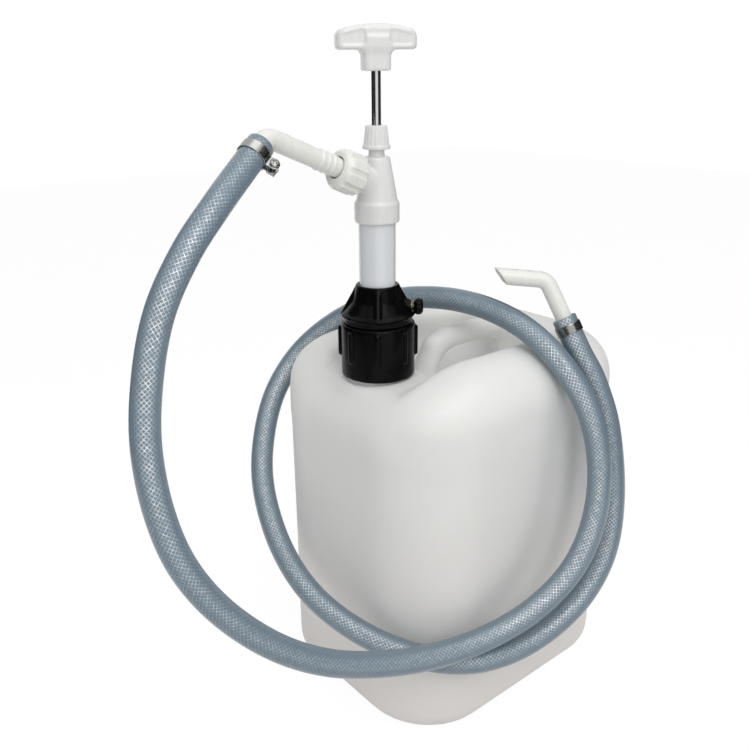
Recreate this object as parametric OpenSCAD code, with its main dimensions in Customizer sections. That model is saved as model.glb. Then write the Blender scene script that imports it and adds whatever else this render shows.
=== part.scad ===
/* [Canister] */
// Length of the canister along the carrying handle
can_l = 290; // [280:1:310]
// Width of the canister across the carrying handle
can_w = 240; // [230:1:260]
// Height of the canister's shoulders
can_h = 352; // [340:1:370]
// Wall of the blown canister
can_wall = 2; // [1.5:0.1:3]
// Radius of the upright corners
can_corner_r = 72; // [60:1:80]
// Radius of the rounded top edges
can_shoulder_r = 46; // [40:1:52]
// Radius of the rounded bottom edges
can_base_r = 18; // [12:1:22]
// Distance of the neck's axis from the end face
neck_inset = 52; // [50:1:58]
// Depth of the neck's seat below the shoulders
neck_drop = 21; // [18:1:24]
// Run of the slope from the neck's seat up to the shoulders
seat_slope = 62; // [50:1:70]
// Room round the screw ring in the neck's pocket
pocket_room = 7; // [6:1:10]
// Outside diameter of the neck
neck_d = 58.6; // [56:0.2:60]
// Height of the neck above its seat
neck_h = 35; // [32:1:38]
// Wall of the neck
neck_wall = 3; // [2.5:0.5:4]

/* [Carrying handle] */
// Diameter of the hollow handle
handle_d = 30; // [26:1:32]
// Rise of the handle above the shoulders
handle_rise = 14; // [12:1:18]
// Distance between the handle's two posts
handle_span = 116; // [108:1:124]
// Room between the handle and the screw ring
handle_room = 4; // [3:1:8]
// Depth of the finger recess below the shoulders
grip_depth = 46; // [42:1:50]
// Width of the finger recess
grip_w = 124; // [112:1:132]
// Corner radius of the finger recess
grip_r = 30; // [24:1:36]

/* [Screw adapter] */
// Wall of the screw ring
ring_wall = 3.4; // [3:0.2:4]
// Height of the screw ring
ring_h = 48.5; // [46:0.5:49.5]
// Thickness of the screw ring's top lip
ring_lip = 7.5; // [6:0.5:9]
// Number of grip ribs on the screw ring
ring_ribs = 8; // [6:1:12]
// How far the grip ribs stand out
rib_out = 2.8; // [2:0.2:3]
// Width of a grip rib
rib_w = 4.2; // [3:0.2:6]
// Height of a grip rib
rib_h = 28; // [20:1:30]
// Thickness of the neck gasket
gasket_t = 2; // [1.5:0.5:3]
// Thickness of the flange that the ring pulls down
flange_t = 5.7; // [4.5:0.2:7]
// Radius of the waist inside the ring's lip
waist_r = 24; // [22.5:0.5:25.5]
// Gap between the screw ring and the cone's skirt
skirt_gap = 6.5; // [5:0.5:9]
// Radius of the cone's skirt
skirt_r = 33.5; // [32:0.5:35]
// Height of the cone
cone_h = 28; // [26:1:32]
// Wall of the collar round the tube
collar_wall = 3.3; // [2.6:0.1:4]
// Thickness of a gusset on the cone
gusset_t = 5; // [3:0.5:7]
// Heading of the clamp screw round the pump axis, in degrees
clamp_heading = -40; // [-50:1:-30]
// Diameter of the clamp stud
stud_d = 6; // [5:0.5:7]
// Diameter of the thumb knob
knob_d = 15; // [14:1:18]
// Thickness of the thumb knob
knob_t = 8.5; // [7:0.5:10]
// Distance of the boss's face from the pump axis
boss_reach = 30; // [29:0.5:32]

/* [Pump] */
// Outside diameter of the pump tube
tube_d = 32; // [31:0.2:33]
// Wall of the pump tube
tube_wall = 2.5; // [2:0.1:3]
// Length of tube that shows between cone and head
tube_show = 54; // [40:1:70]
// Gap between the strainer and the canister's floor
floor_gap = 8; // [5:1:12]
// Height of the head's collar
collar_h = 18; // [16:1:20]
// Wall of the head's collar
head_wall = 3.3; // [3:0.1:4]
// Depth of the tube's socket in the head
socket_depth = 14; // [13:0.5:15]
// Height of the head's cone
head_cone_h = 37; // [36:1:42]
// Radius of the head's cone at its foot
head_foot_r = 17.9; // [17.5:0.1:19]
// Radius of the head's cone at its top
head_top_r = 11.2; // [10.5:0.1:12]
// Length of the bare spigot below the gland nut
gland_show = 6; // [4:0.5:8]
// Diameter of the gland's threaded spigot
gland_d = 13.4; // [12.6:0.2:14]
// Height of the gland nut
gland_h = 19; // [17:1:22]
// Diameter of the gland nut at its rim
gland_rim_d = 23.5; // [22:0.5:24]
// Diameter of the gland nut at its top
gland_top_d = 18; // [17:0.5:19]
// Thickness of the packing ring
packing_t = 2; // [1.5:0.5:3]
// Diameter of the piston rod
rod_d = 8; // [7.5:0.1:8.5]
// Diameter of the valve balls
ball_d = 13; // [12:0.5:14]
// Lift of the valve balls
ball_lift = 4; // [3:0.5:5]

/* [T-handle] */
// Gap between the gland nut and the T-handle at rest
handle_gap = 42; // [42:1:60]
// Length of the grip bar
bar_l = 66; // [60:1:80]
// Height of the grip bar at its ends
bar_end_h = 13.5; // [12:0.5:15]
// Height of the grip bar at its middle
bar_h = 19.5; // [18:0.5:22]
// Depth of the grip bar
bar_depth = 20; // [19:1:24]
// Width of the boss below the bar
boss_w = 23; // [20:1:26]
// Height of the boss below the bar
boss_h = 16; // [14:1:20]
// Heading of the grip bar, in degrees
bar_heading = -27; // [-60:1:60]

/* [Outlet] */
// Height of the outlet's axis above the head's lower edge
outlet_h = 31.5; // [30:0.5:33]
// Rise of the outlet pipe, in degrees
outlet_rise = 23; // [21:1:26]
// Distance from the pump axis to the pipe's bend
outlet_run = 116; // [112:1:124]
// Outside diameter of the outlet pipe
pipe_d = 16; // [15.6:0.1:16]
// Wall of the outlet pipe
pipe_wall = 2; // [1.5:0.1:2.5]
// Angle of the pipe's bend, in degrees
pipe_bend = 60; // [58:1:62]
// Radius of the pipe's bend
bend_r = 12; // [11:1:13]
// Turn of the bend about the outlet, in degrees
elbow_turn = 18; // [15:1:21]
// Outside diameter of the outlet spigot
spigot_d = 21.4; // [20:0.2:22]
// Distance from the pump axis to the union nut's back face
nut_start = 24; // [23:0.5:25]
// Length of the union nut
nut_l = 22; // [20:1:24]
// Diameter of the union nut over its ribs
nut_d = 34; // [32:0.5:35]
// Number of grip ribs on the union nut
nut_ribs = 8; // [6:1:10]

/* [Hose] */
// Outside diameter of the hose
hose_d = 22; // [21:0.5:23]
// Bore of the hose
hose_bore = 16.1; // [16.1:0.1:16.8]
// Length of pipe pushed into the hose's ends
barb_l = 30; // [26:1:32]
// Outside diameter of the nozzle
nozzle_d = 15; // [14:0.2:16]
// Length of the nozzle's slanted arm outside the hose
nozzle_arm = 38; // [34:1:44]
// Length of the nozzle's mouth arm
mouth_arm = 48; // [40:1:56]
// Slant of the nozzle's mouth, in degrees
mouth_slant = 40; // [30:1:45]
// Turn of the nozzle's mouth about the hose's end, in degrees
nozzle_turn = 38; // [28:1:48]

/* [Hose clamps] */
// Width of a clamp band
band_w = 9; // [8:0.5:10]
// Thickness of a clamp band
band_t = 0.8; // [0.6:0.1:1]
// Gap between a clamp's two ears
ear_gap = 5; // [4:0.5:6]
// Length of a clamp's ears
ear_l = 10; // [9:0.5:11]
// Diameter of a clamp screw
screw_d = 4; // [3.5:0.1:4.2]
// Distance of a clamp from the hose's end
clamp_setback = 11; // [9:0.5:13]
// Turn of the elbow's clamp about the hose, in degrees
clamp_turn = 52; // [0:1:359]
// Turn of the nozzle's clamp about the hose, in degrees
nozzle_clamp_turn = 308; // [0:1:359]

/* [Hidden] */

$fn = 64;

// Clearances
run_fit = 0.05;     // running fit, on the radius
loose_fit = 0.5;    // threads and captive rings, on the radius
seat_fit = 0.3;     // between faces that move apart
over = 1;           // how far a cut runs past a face

// Colours
white_pe = [0.90, 0.89, 0.86];
white_pp = [0.95, 0.95, 0.95];
ivory_pp = [0.93, 0.92, 0.86];
tube_grey = [0.86, 0.88, 0.90];
black_pp = [0.05, 0.05, 0.05];
hose_blue = [0.53, 0.62, 0.68];
steel = [0.72, 0.72, 0.72];
brass = [0.72, 0.58, 0.28];
seal_black = [0.10, 0.10, 0.10];
seal_white = [0.88, 0.88, 0.84];

// Canister
neck_x = neck_inset - can_l / 2;
seat_z = can_h - neck_drop;
neck_top = seat_z + neck_h;
neck_bore_r = neck_d / 2 - neck_wall;

// Screw adapter, from the neck upwards
ring_bore_r = neck_d / 2 + loose_fit;
ring_r = ring_bore_r + ring_wall;
rib_r = ring_r + rib_out;
flange_r = ring_bore_r - loose_fit - 0.5;
flange_z = neck_top + gasket_t;
lip_z = flange_z + flange_t + seat_fit;
ring_top = lip_z + ring_lip;
ring_z = ring_top - ring_h;
rib_top_gap = 4;
ring_chamfer = 2;
skirt_z = ring_top + skirt_gap;
skirt_lip = 1.5;
cone_top = skirt_z + cone_h;
tube_r = tube_d / 2;
guide_r = tube_r + run_fit;
collar_r = guide_r + collar_wall;
cone_bore_r = waist_r - 3;
cone_edge = 1.2;
clamp_z = skirt_z + 6.7;
boss_r = stud_d / 2 + 3.5;
insert_r = stud_d / 2 + 1.5;
insert_l = 9;
knob_gap = 0.5;
knob_start = max(boss_reach, skirt_r) + knob_gap;

// Carrying handle
handle_r = handle_d / 2;
handle_x = neck_x + rib_r + handle_room + handle_r;
handle_z = can_h + handle_rise - handle_r;
grip_lap = 5;
grip_l = handle_span + handle_r - grip_lap;
grip_x = handle_x + handle_span - grip_lap - grip_l / 2;
grip_z = can_h - grip_depth;
slope_x = neck_x - rib_r - 1;
pocket_r = rib_r + pocket_room;

// Pump barrel and head
head_z = cone_top + tube_show;
collar_top = head_z + collar_h;
collar_out_r = guide_r + head_wall;
collar_edge = 1.5;
tube_bore_r = tube_r - tube_wall;
tube_top = head_z + socket_depth;
head_top = collar_top + head_cone_h;
head_bore_r = tube_bore_r - 0.5;
head_crown = 16;
head_bore_top = head_top - head_crown;
rod_r = rod_d / 2;
rod_hole_r = rod_r + 0.2;
gland_z = head_top + gland_show;
gland_top = gland_z + gland_h;
gland_cap = 4;
packing_z = gland_top - gland_cap - packing_t;
gland_r = gland_d / 2;
gland_bore_r = gland_r + 0.4;
gland_flutes = 18;
gland_rim_h = 3;
seal_wire = 0.9;
seal_z = head_z + 6;

// Foot valve, from the canister's floor upwards
ball_r = ball_d / 2;
seat_r = ball_r - 1.5;
seat_rise = sqrt(ball_r * ball_r - seat_r * seat_r);
chamber_r = ball_r + 1.5;
plug_r = tube_bore_r - run_fit;
strainer_z = can_wall + floor_gap;
strainer_h = 24;
strainer_floor = 2;
slot_foot = 5;
slot_head = 6;
strainer_r = tube_r - 1;
strainer_slots = 6;
strainer_slot_w = 5;
foot_flange = 6;
foot_z = strainer_z + strainer_h;
tube_z = foot_z + foot_flange;
seat_t = 4;
foot_seat_top = tube_z + seat_t;
chamber_h = seat_rise + ball_r + ball_lift + seat_fit;
foot_wall_top = foot_seat_top + chamber_h - 3;
cage_bar = 3;
cage_z = foot_seat_top + chamber_h;
foot_top = cage_z + cage_bar;

// Piston, which stops short of the foot valve when the T-handle is right down
piston_room = 3;
piston_r = plug_r - 0.2;
piston_z = foot_top + piston_room + handle_gap;
piston_seat_top = piston_z + seat_t;
piston_h = seat_t + chamber_h;
piston_top = piston_z + piston_h;
groove_w = 4;
groove_depth = 2;
groove_z = piston_z + 1.5;
piston_cap_t = 8;
piston_cap_r = piston_r - 2;
rod_z = piston_top + 2;
rod_nut_z = piston_top + piston_cap_t;
rod_nut_h = 6;
rod_nut_w = 13;
cap_holes = 4;
cap_hole_r = 2.2;
cap_hole_ring = 8.2;

// T-handle
grip_base = gland_top + handle_gap;
bar_z = grip_base + boss_h;
bar_sag = bar_h - bar_end_h;
bar_arc_r = (bar_l * bar_l / 4 + bar_sag * bar_sag) / (2 * bar_sag);
bar_end_r = 6;
boss_edge_r = 5;
bush_r = rod_r + 2;
bush_l = 14;
rod_top = grip_base + bush_l;

// Outlet
outlet_o = [neck_x, 0, head_z + outlet_h];
outlet_dir = [-cos(outlet_rise), 0, sin(outlet_rise)];
outlet_down = [-sin(outlet_rise), 0, -cos(outlet_rise)];
pipe_r = pipe_d / 2;
pipe_bore_r = pipe_r - pipe_wall;
ridge_r = pipe_r + 0.9;
ridge_count = 3;
ridge_step = 6;
ridge_start = 53;
ridge_w = 2.4;
spigot_r = spigot_d / 2;
nut_grip = 12;
spigot_end = nut_start + nut_l - nut_grip;
gasket_flat = 2;
collet_t = 3.6;
collet_r = spigot_r - 0.2;
collet_start = spigot_end + gasket_flat;
nut_hole_r = ridge_r + 0.3;
nut_bore_r = spigot_r + 0.3;
nut_core_r = nut_d / 2 - 1.3;
nut_edge = 3;
nut_rib_share = 0.68;
nut_face = collet_start + collet_t + seat_fit;
bend_lead = bend_r * tan(pipe_bend / 2);
elbow_dir = cos(pipe_bend) * outlet_dir
    + sin(pipe_bend) * (cos(elbow_turn) * outlet_down + sin(elbow_turn) * [0, -1, 0]);
elbow_apex = outlet_o + outlet_run * outlet_dir;
hose_setback = 2;
bend_swell = 0.2;
hose_start = elbow_apex + (bend_lead + hose_setback) * elbow_dir;
elbow_spin = 180 + elbow_turn;
barb_r = hose_bore / 2 - run_fit;
barb_root = barb_r - 0.6;
barb_count = 3;
barb_step = 7;

// Hose route: over the canister's near side, the handle and the far corner, and round again
hose_r = hose_d / 2;
hose_sides = 12;
hose_steps = 2;
hose_fit = hose_bore / 2 / cos(180 / hose_sides);
route_points = [
    [-258, -20, 504], [-288, -27, 476], [-315, -34, 440], [-332, -41, 398], [-342, -49, 352],
    [-342, -59, 303], [-332, -69, 258], [-309, -80, 215], [-274, -93, 175], [-232, -105, 145],
    [-184, -117, 126], [-134, -130, 117], [-84, -143, 119], [-38, -155, 134], [2, -163, 163],
    [26, -164, 205], [35, -158, 257], [30, -144, 308], [21, -116, 347], [16, -76, 371],
    [9, -28, 382], [-6, 20, 383], [-25, 68, 373], [-48, 112, 350], [-81, 139, 316],
    [-118, 138, 278], [-149, 117, 238], [-170, 87, 201], [-182, 42, 163], [-182, -8, 135],
    [-166, -60, 115], [-136, -106, 101], [-92, -136, 92], [-40, -153, 97], [12, -163, 121],
    [48, -164, 160], [65, -156, 213], [65, -144, 277], [57, -130, 322]
];
hose_tail = [50, -115, 350];
hose_end = [45, -99, 379];
nozzle_dir = unit(hose_end - hose_tail);
route = concat([hose_start, hose_start + barb_l * elbow_dir], route_points, [hose_tail, hose_end]);
path = smooth_path(route, hose_steps);
far_apart = 8 * hose_steps;
echo(hose_length = path_length(path), hose_least_gap = least_gap(path) - hose_d);

// Hose clamps
band_r = hose_r + 0.2;
ear_t = 1.2;
ear_hole_r = screw_d / 2 + 0.1;
ear_mid = band_r + band_t + 5;
clamp_nut_w = 7;
clamp_nut_t = 3.2;
clamp_head_r = 3.8;
clamp_head_t = 2.6;
screw_tail = 2;

function unit(v) = v / norm(v);

// A point of a Catmull-Rom curve between b and c
function curve_point(a, b, c, d, t) =
    0.5 * (2 * b + (c - a) * t + (2 * a - 5 * b + 4 * c - d) * t * t + (3 * b - a - 3 * c + d) * t * t * t);

// A smooth path through points, with steps rings to each stretch
function smooth_path(points, steps) =
    let (
        last = len(points) - 1,
        padded = concat([2 * points[0] - points[1]], points, [2 * points[last] - points[last - 1]])
    )
    concat(
        [for (i = [0 : last - 1], k = [0 : steps - 1])
            curve_point(padded[i], padded[i + 1], padded[i + 2], padded[i + 3], k / steps)],
        [points[last]]
    );

function path_tangents(points) =
    let (last = len(points) - 1)
    [for (i = [0 : last]) unit(points[min(i + 1, last)] - points[max(i - 1, 0)])];

// Normals carried along a path without twist
function path_normals(tangents, start, i = 0) =
    i == len(tangents) ? [] :
    let (n = unit(start - (start * tangents[i]) * tangents[i]))
    concat([n], path_normals(tangents, n, i + 1));

function path_length(points, i = 1) =
    i == len(points) ? 0 : norm(points[i] - points[i - 1]) + path_length(points, i + 1);

// Least distance between two rings that are not neighbours along the path
function least_gap(points) =
    min([for (i = [0 : len(points) - 1 - far_apart], j = [i + far_apart : len(points) - 1])
        norm(points[i] - points[j])]);

module rounded_rect(l, w, r) {
    square([l - 2 * r, w], center = true);
    square([l, w - 2 * r], center = true);
    for (x = [-1, 1], y = [-1, 1])
        translate([x * (l / 2 - r), y * (w / 2 - r)]) circle(r);
}

// Upright outline with its own radius at the top and at the foot
module rounded_slab(l, h, top_r, foot_r) {
    translate([-l / 2, foot_r]) square([l, h - top_r - foot_r]);
    translate([-l / 2 + top_r, h / 2]) square([l - 2 * top_r, h / 2]);
    translate([-l / 2 + foot_r, 0]) square([l - 2 * foot_r, h / 2]);
    for (side = [-1, 1]) {
        translate([side * (l / 2 - top_r), h - top_r]) circle(top_r);
        translate([side * (l / 2 - foot_r), foot_r]) circle(foot_r);
    }
}

module on_pump_axis() {
    translate([neck_x, 0, 0]) children();
}

// Turns +Z onto the outlet's axis
module on_outlet() {
    translate(outlet_o) rotate([0, outlet_rise - 90, 0]) children();
}

// Turns +Z onto a direction at a place, with a turn about it
module along(place, dir, turn) {
    translate(place) rotate([0, acos(dir[2]), atan2(dir[1], dir[0])]) rotate(turn) children();
}

module tube(outer_r, inner_r, z, h) {
    translate([0, 0, z])
        difference() {
            cylinder(h = h, r = outer_r);
            translate([0, 0, -over]) cylinder(h = h + 2 * over, r = inner_r);
        }
}

// Canister

module slab_of(length, height, inset) {
    translate([0, inset])
        rounded_slab(length - 2 * inset, height - 2 * inset, can_shoulder_r - inset, can_base_r - inset);
}

// Side view: low at the neck, up a slope to the shoulders
module side_outline(inset) {
    slab_of(can_l, seat_z, inset);
    intersection() {
        slab_of(can_l, can_h, inset);
        polygon([
            [slope_x + inset - seat_slope, 0], [can_l, 0], [can_l, can_h],
            [slope_x + seat_slope + inset, can_h], [slope_x + inset, seat_z],
            [slope_x + inset - seat_slope, seat_z / 2]
        ]);
    }
}

module canister_form(inset) {
    intersection() {
        linear_extrude(can_h + over) rounded_rect(can_l - 2 * inset, can_w - 2 * inset, can_corner_r - inset);
        rotate([90, 0, 0]) linear_extrude(can_w + over, center = true) side_outline(inset);
        rotate([90, 0, 90]) linear_extrude(can_l + over, center = true) slab_of(can_w, can_h, inset);
    }
}

module finger_recess(grow) {
    translate([grip_x, 0, grip_z - grow])
        linear_extrude(grip_depth + handle_rise + grow + over)
            rounded_rect(grip_l + 2 * grow, grip_w + 2 * grow, grip_r + grow);
}

// Pocket round the neck, open to the end face
module neck_pocket(grow) {
    translate([neck_x, 0, seat_z - grow])
        linear_extrude(can_h) {
            circle(pocket_r + grow);
            translate([-can_l, -pocket_r - grow]) square([can_l, 2 * (pocket_r + grow)]);
        }
}

// Two posts and a bar, rounded where they meet
module handle_form(r, foot) {
    translate([handle_x, 0, handle_z]) rotate([0, 90, 0]) cylinder(h = handle_span, r = r);
    for (x = [handle_x, handle_x + handle_span]) {
        translate([x, 0, foot]) cylinder(h = handle_z - foot, r = r);
        translate([x, 0, handle_z]) sphere(r);
    }
}

module canister() {
    color(white_pe)
        difference() {
            union() {
                difference() {
                    canister_form(0);
                    finger_recess(0);
                    neck_pocket(0);
                }
                handle_form(handle_r, grip_z - can_wall / 2);
                on_pump_axis() translate([0, 0, seat_z - can_wall]) cylinder(h = neck_h + can_wall, d = neck_d);
            }
            difference() {
                canister_form(can_wall);
                finger_recess(can_wall);
                neck_pocket(can_wall);
            }
            handle_form(handle_r - can_wall, grip_z - can_wall - over);
            on_pump_axis() translate([0, 0, seat_z - 2 * can_wall])
                cylinder(h = neck_h + 2 * can_wall + over, r = neck_bore_r);
        }
}

// Screw adapter

module neck_gasket() {
    color(seal_black) on_pump_axis() tube(flange_r, neck_bore_r, neck_top, gasket_t);
}

module screw_ring() {
    color(black_pp)
        on_pump_axis() {
            rotate_extrude()
                polygon([
                    [ring_bore_r, ring_z], [ring_r, ring_z], [ring_r, ring_top - ring_chamfer],
                    [ring_r - ring_chamfer, ring_top], [waist_r + loose_fit, ring_top],
                    [waist_r + loose_fit, lip_z], [ring_bore_r, lip_z]
                ]);
            for (i = [0 : ring_ribs - 1])
                rotate(clamp_heading + 360 / ring_ribs * i)
                    translate([ring_r - ring_wall / 2, -rib_w / 2, ring_top - rib_top_gap - rib_h])
                        cube([rib_out + ring_wall / 2, rib_w, rib_h]);
        }
}

module on_clamp_screw() {
    on_pump_axis() translate([0, 0, clamp_z]) rotate(clamp_heading) rotate([0, 90, 0]) children();
}

module adapter_cone() {
    color(black_pp)
        difference() {
            union() {
                on_pump_axis() {
                    rotate_extrude()
                        polygon([
                            [cone_bore_r, flange_z], [flange_r, flange_z], [flange_r, flange_z + flange_t],
                            [waist_r, flange_z + flange_t], [waist_r, ring_top + seat_fit],
                            [skirt_r - 2.5, ring_top + seat_fit], [skirt_r - 2.5, skirt_z],
                            [skirt_r, skirt_z], [skirt_r, skirt_z + skirt_lip],
                            [collar_r + 2, skirt_z + cone_h / 2], [collar_r, cone_top - cone_edge],
                            [collar_r - cone_edge, cone_top], [guide_r, cone_top],
                            [guide_r, skirt_z - over], [cone_bore_r, ring_top]
                        ]);
                    for (i = [0 : 3])
                        rotate(clamp_heading + 90 * i)
                            rotate([90, 0, 0])
                                linear_extrude(gusset_t, center = true)
                                    polygon([
                                        [guide_r + over, skirt_z], [skirt_r, skirt_z],
                                        [skirt_r, skirt_z + skirt_lip], [collar_r + 0.3, cone_top - 3],
                                        [guide_r + over, cone_top - 3]
                                    ]);
                }
                on_clamp_screw() translate([0, 0, guide_r + over])
                    cylinder(h = boss_reach - guide_r - over, r = boss_r);
            }
            on_clamp_screw() cylinder(h = skirt_r + over, r = stud_d / 2 + 0.2);
            on_clamp_screw() translate([0, 0, boss_reach - insert_l]) cylinder(h = insert_l + over, r = insert_r);
        }
}

module clamp_insert() {
    color(brass) on_clamp_screw() tube(insert_r, stud_d / 2 + run_fit, boss_reach - insert_l, insert_l);
}

module clamp_stud() {
    color(steel) on_clamp_screw() translate([0, 0, tube_r + seat_fit])
        cylinder(h = knob_start + knob_t - 2 - tube_r - seat_fit, d = stud_d);
}

module clamp_knob() {
    knob_r = knob_d / 2;
    round_r = knob_t / 2 - 0.5;
    flutes = 8;
    color(black_pp)
        on_clamp_screw() translate([0, 0, knob_start])
            difference() {
                union() {
                    cylinder(h = knob_t, r = knob_r - round_r);
                    translate([0, 0, knob_t / 2]) rotate_extrude() {
                        translate([knob_r - round_r, 0]) circle(round_r);
                        translate([0, -round_r]) square([knob_r - round_r, 2 * round_r]);
                    }
                }
                translate([0, 0, -over]) cylinder(h = knob_t - 2 + over + seat_fit, r = stud_d / 2 + run_fit);
                for (i = [0 : flutes - 1])
                    rotate(360 / flutes * i) translate([knob_r + 0.6, 0, -over])
                        cylinder(h = knob_t + 2 * over, r = 1.6);
            }
}

// Pump barrel and head

module pump_tube() {
    color(tube_grey) on_pump_axis() tube(tube_r, tube_bore_r, tube_z, tube_top - tube_z);
}

module pump_head() {
    color(white_pp)
        difference() {
            union() {
                on_pump_axis() rotate_extrude()
                    polygon([
                        [0, head_z], [collar_out_r - collar_edge, head_z], [collar_out_r, head_z + collar_edge],
                        [collar_out_r, collar_top - collar_edge], [collar_out_r - collar_edge, collar_top],
                        [head_foot_r, collar_top], [head_top_r, head_top], [gland_r, head_top],
                        [gland_r, packing_z], [0, packing_z]
                    ]);
                on_outlet() cylinder(h = spigot_end, r = spigot_r);
            }
            on_pump_axis() {
                rotate_extrude()
                    polygon([
                        [0, head_z - over], [guide_r, head_z - over], [guide_r, tube_top + seat_fit],
                        [head_bore_r, tube_top + seat_fit], [head_bore_r, head_bore_top - head_bore_r / 2],
                        [rod_hole_r, head_bore_top], [rod_hole_r, packing_z + over], [0, packing_z + over]
                    ]);
                translate([0, 0, seal_z]) rotate_extrude()
                    translate([guide_r, -seal_wire - run_fit]) square([1.8, 2 * (seal_wire + run_fit)]);
            }
            on_outlet() cylinder(h = spigot_end + over, r = pipe_bore_r);
        }
}

module tube_seal() {
    color(seal_black) on_pump_axis() translate([0, 0, seal_z]) rotate_extrude()
        translate([tube_r + run_fit + seal_wire, 0]) circle(seal_wire);
}

module gland_packing() {
    color(seal_white) on_pump_axis() tube(gland_r, rod_r + run_fit, packing_z, packing_t);
}

module gland_nut() {
    rim_r = gland_rim_d / 2;
    top_r = gland_top_d / 2;
    color(white_pp)
        on_pump_axis()
            difference() {
                rotate_extrude()
                    polygon([
                        [gland_bore_r, gland_z], [rim_r, gland_z], [rim_r, gland_z + gland_rim_h - 1],
                        [rim_r - 1, gland_z + gland_rim_h], [top_r, gland_top - 1], [top_r - 1, gland_top],
                        [rod_hole_r, gland_top], [rod_hole_r, gland_top - gland_cap + seat_fit],
                        [gland_bore_r, gland_top - gland_cap + seat_fit]
                    ]);
                for (i = [0 : gland_flutes - 1])
                    rotate(360 / gland_flutes * i)
                        translate([rim_r - 0.6, 0, gland_z + gland_rim_h])
                            rotate([0, -atan((rim_r - 1 - top_r) / (gland_h - gland_rim_h - 1)), 0])
                                cylinder(h = gland_h, r = 0.9);
            }
}

module foot_seat() {
    color(white_pp)
        on_pump_axis()
            difference() {
                union() {
                    translate([0, 0, foot_z]) cylinder(h = foot_flange, r = tube_r);
                    translate([0, 0, foot_z]) cylinder(h = foot_wall_top - foot_z, r = plug_r);
                }
                translate([0, 0, foot_z - over]) cylinder(h = foot_seat_top - foot_z + 2 * over, r = seat_r);
                translate([0, 0, foot_seat_top]) cylinder(h = chamber_h + over, r = chamber_r);
            }
}

module valve_ball(seat_top) {
    translate([0, 0, seat_top + seat_rise + run_fit]) sphere(ball_r);
}

module foot_ball() {
    color(steel) on_pump_axis() valve_ball(foot_seat_top);
}

// Ring with a cross of two bars over the ball
module foot_cage() {
    color(white_pp)
        on_pump_axis() {
            tube(plug_r, chamber_r, foot_wall_top, foot_top - foot_wall_top);
            for (turn = [0, 90])
                rotate(turn) translate([-chamber_r - 0.5, -cage_bar / 2, cage_z])
                    cube([2 * chamber_r + 1, cage_bar, cage_bar]);
        }
}

module inlet_strainer() {
    inner_r = strainer_r - 2;
    color(white_pp)
        on_pump_axis()
            difference() {
                translate([0, 0, strainer_z]) cylinder(h = strainer_h, r = strainer_r);
                translate([0, 0, strainer_z + strainer_floor]) cylinder(h = strainer_h, r = inner_r);
                for (i = [0 : strainer_slots / 2 - 1])
                    rotate(360 / strainer_slots * i)
                        translate([-tube_d, -strainer_slot_w / 2, strainer_z + slot_foot])
                            cube([2 * tube_d, strainer_slot_w, strainer_h - slot_foot - slot_head]);
            }
}

// Piston rod

module piston_rod() {
    color(steel) on_pump_axis() translate([0, 0, rod_z]) cylinder(h = rod_top - rod_z, r = rod_r);
}

module on_grip() {
    on_pump_axis() rotate(bar_heading) children();
}

module t_handle() {
    color(white_pp)
        on_grip()
            difference() {
                union() {
                    translate([0, 0, bar_z]) intersection() {
                        linear_extrude(bar_h + over) rounded_rect(bar_l, bar_depth, bar_end_r);
                        translate([0, 0, bar_h - bar_arc_r]) rotate([90, 0, 0])
                            cylinder(h = 2 * bar_depth, r = bar_arc_r, center = true, $fn = 180);
                    }
                    translate([0, 0, grip_base])
                        linear_extrude(boss_h + bar_end_h / 2) rounded_rect(boss_w, bar_depth - 1, boss_edge_r);
                }
                translate([0, 0, grip_base - over]) cylinder(h = bush_l + over, r = bush_r);
            }
}

module handle_insert() {
    color(brass) on_pump_axis() tube(bush_r, rod_r, grip_base, bush_l);
}

module piston_body() {
    color(white_pp)
        on_pump_axis()
            difference() {
                translate([0, 0, piston_z]) cylinder(h = piston_h, r = piston_r);
                translate([0, 0, piston_z - over]) cylinder(h = seat_t + 2 * over, r = seat_r);
                translate([0, 0, piston_seat_top]) cylinder(h = chamber_h + over, r = chamber_r);
                tube(piston_r + over, piston_r - groove_depth, groove_z, groove_w);
            }
}

module piston_seal() {
    color(seal_black)
        on_pump_axis() tube(plug_r, piston_r - groove_depth + run_fit, groove_z + 0.1, groove_w - 0.2);
}

module piston_cap() {
    color(white_pp)
        on_pump_axis()
            difference() {
                translate([0, 0, piston_top]) cylinder(h = piston_cap_t, r = piston_cap_r);
                translate([0, 0, rod_z]) cylinder(h = piston_cap_t, r = rod_r + run_fit);
                for (i = [0 : cap_holes - 1])
                    rotate(360 / cap_holes * i) translate([cap_hole_ring, 0, piston_top - over])
                        cylinder(h = piston_cap_t + 2 * over, r = cap_hole_r);
                translate([0, 0, piston_top - over]) cylinder(h = over + 1, r = chamber_r);
            }
}

module piston_ball() {
    color(steel) on_pump_axis() valve_ball(piston_seat_top);
}

module rod_nut() {
    color(steel)
        on_pump_axis() translate([0, 0, rod_nut_z])
            difference() {
                cylinder(h = rod_nut_h, d = rod_nut_w / cos(30), $fn = 6);
                translate([0, 0, -over]) cylinder(h = rod_nut_h + 2 * over, r = rod_r);
            }
}

// Outlet

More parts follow.
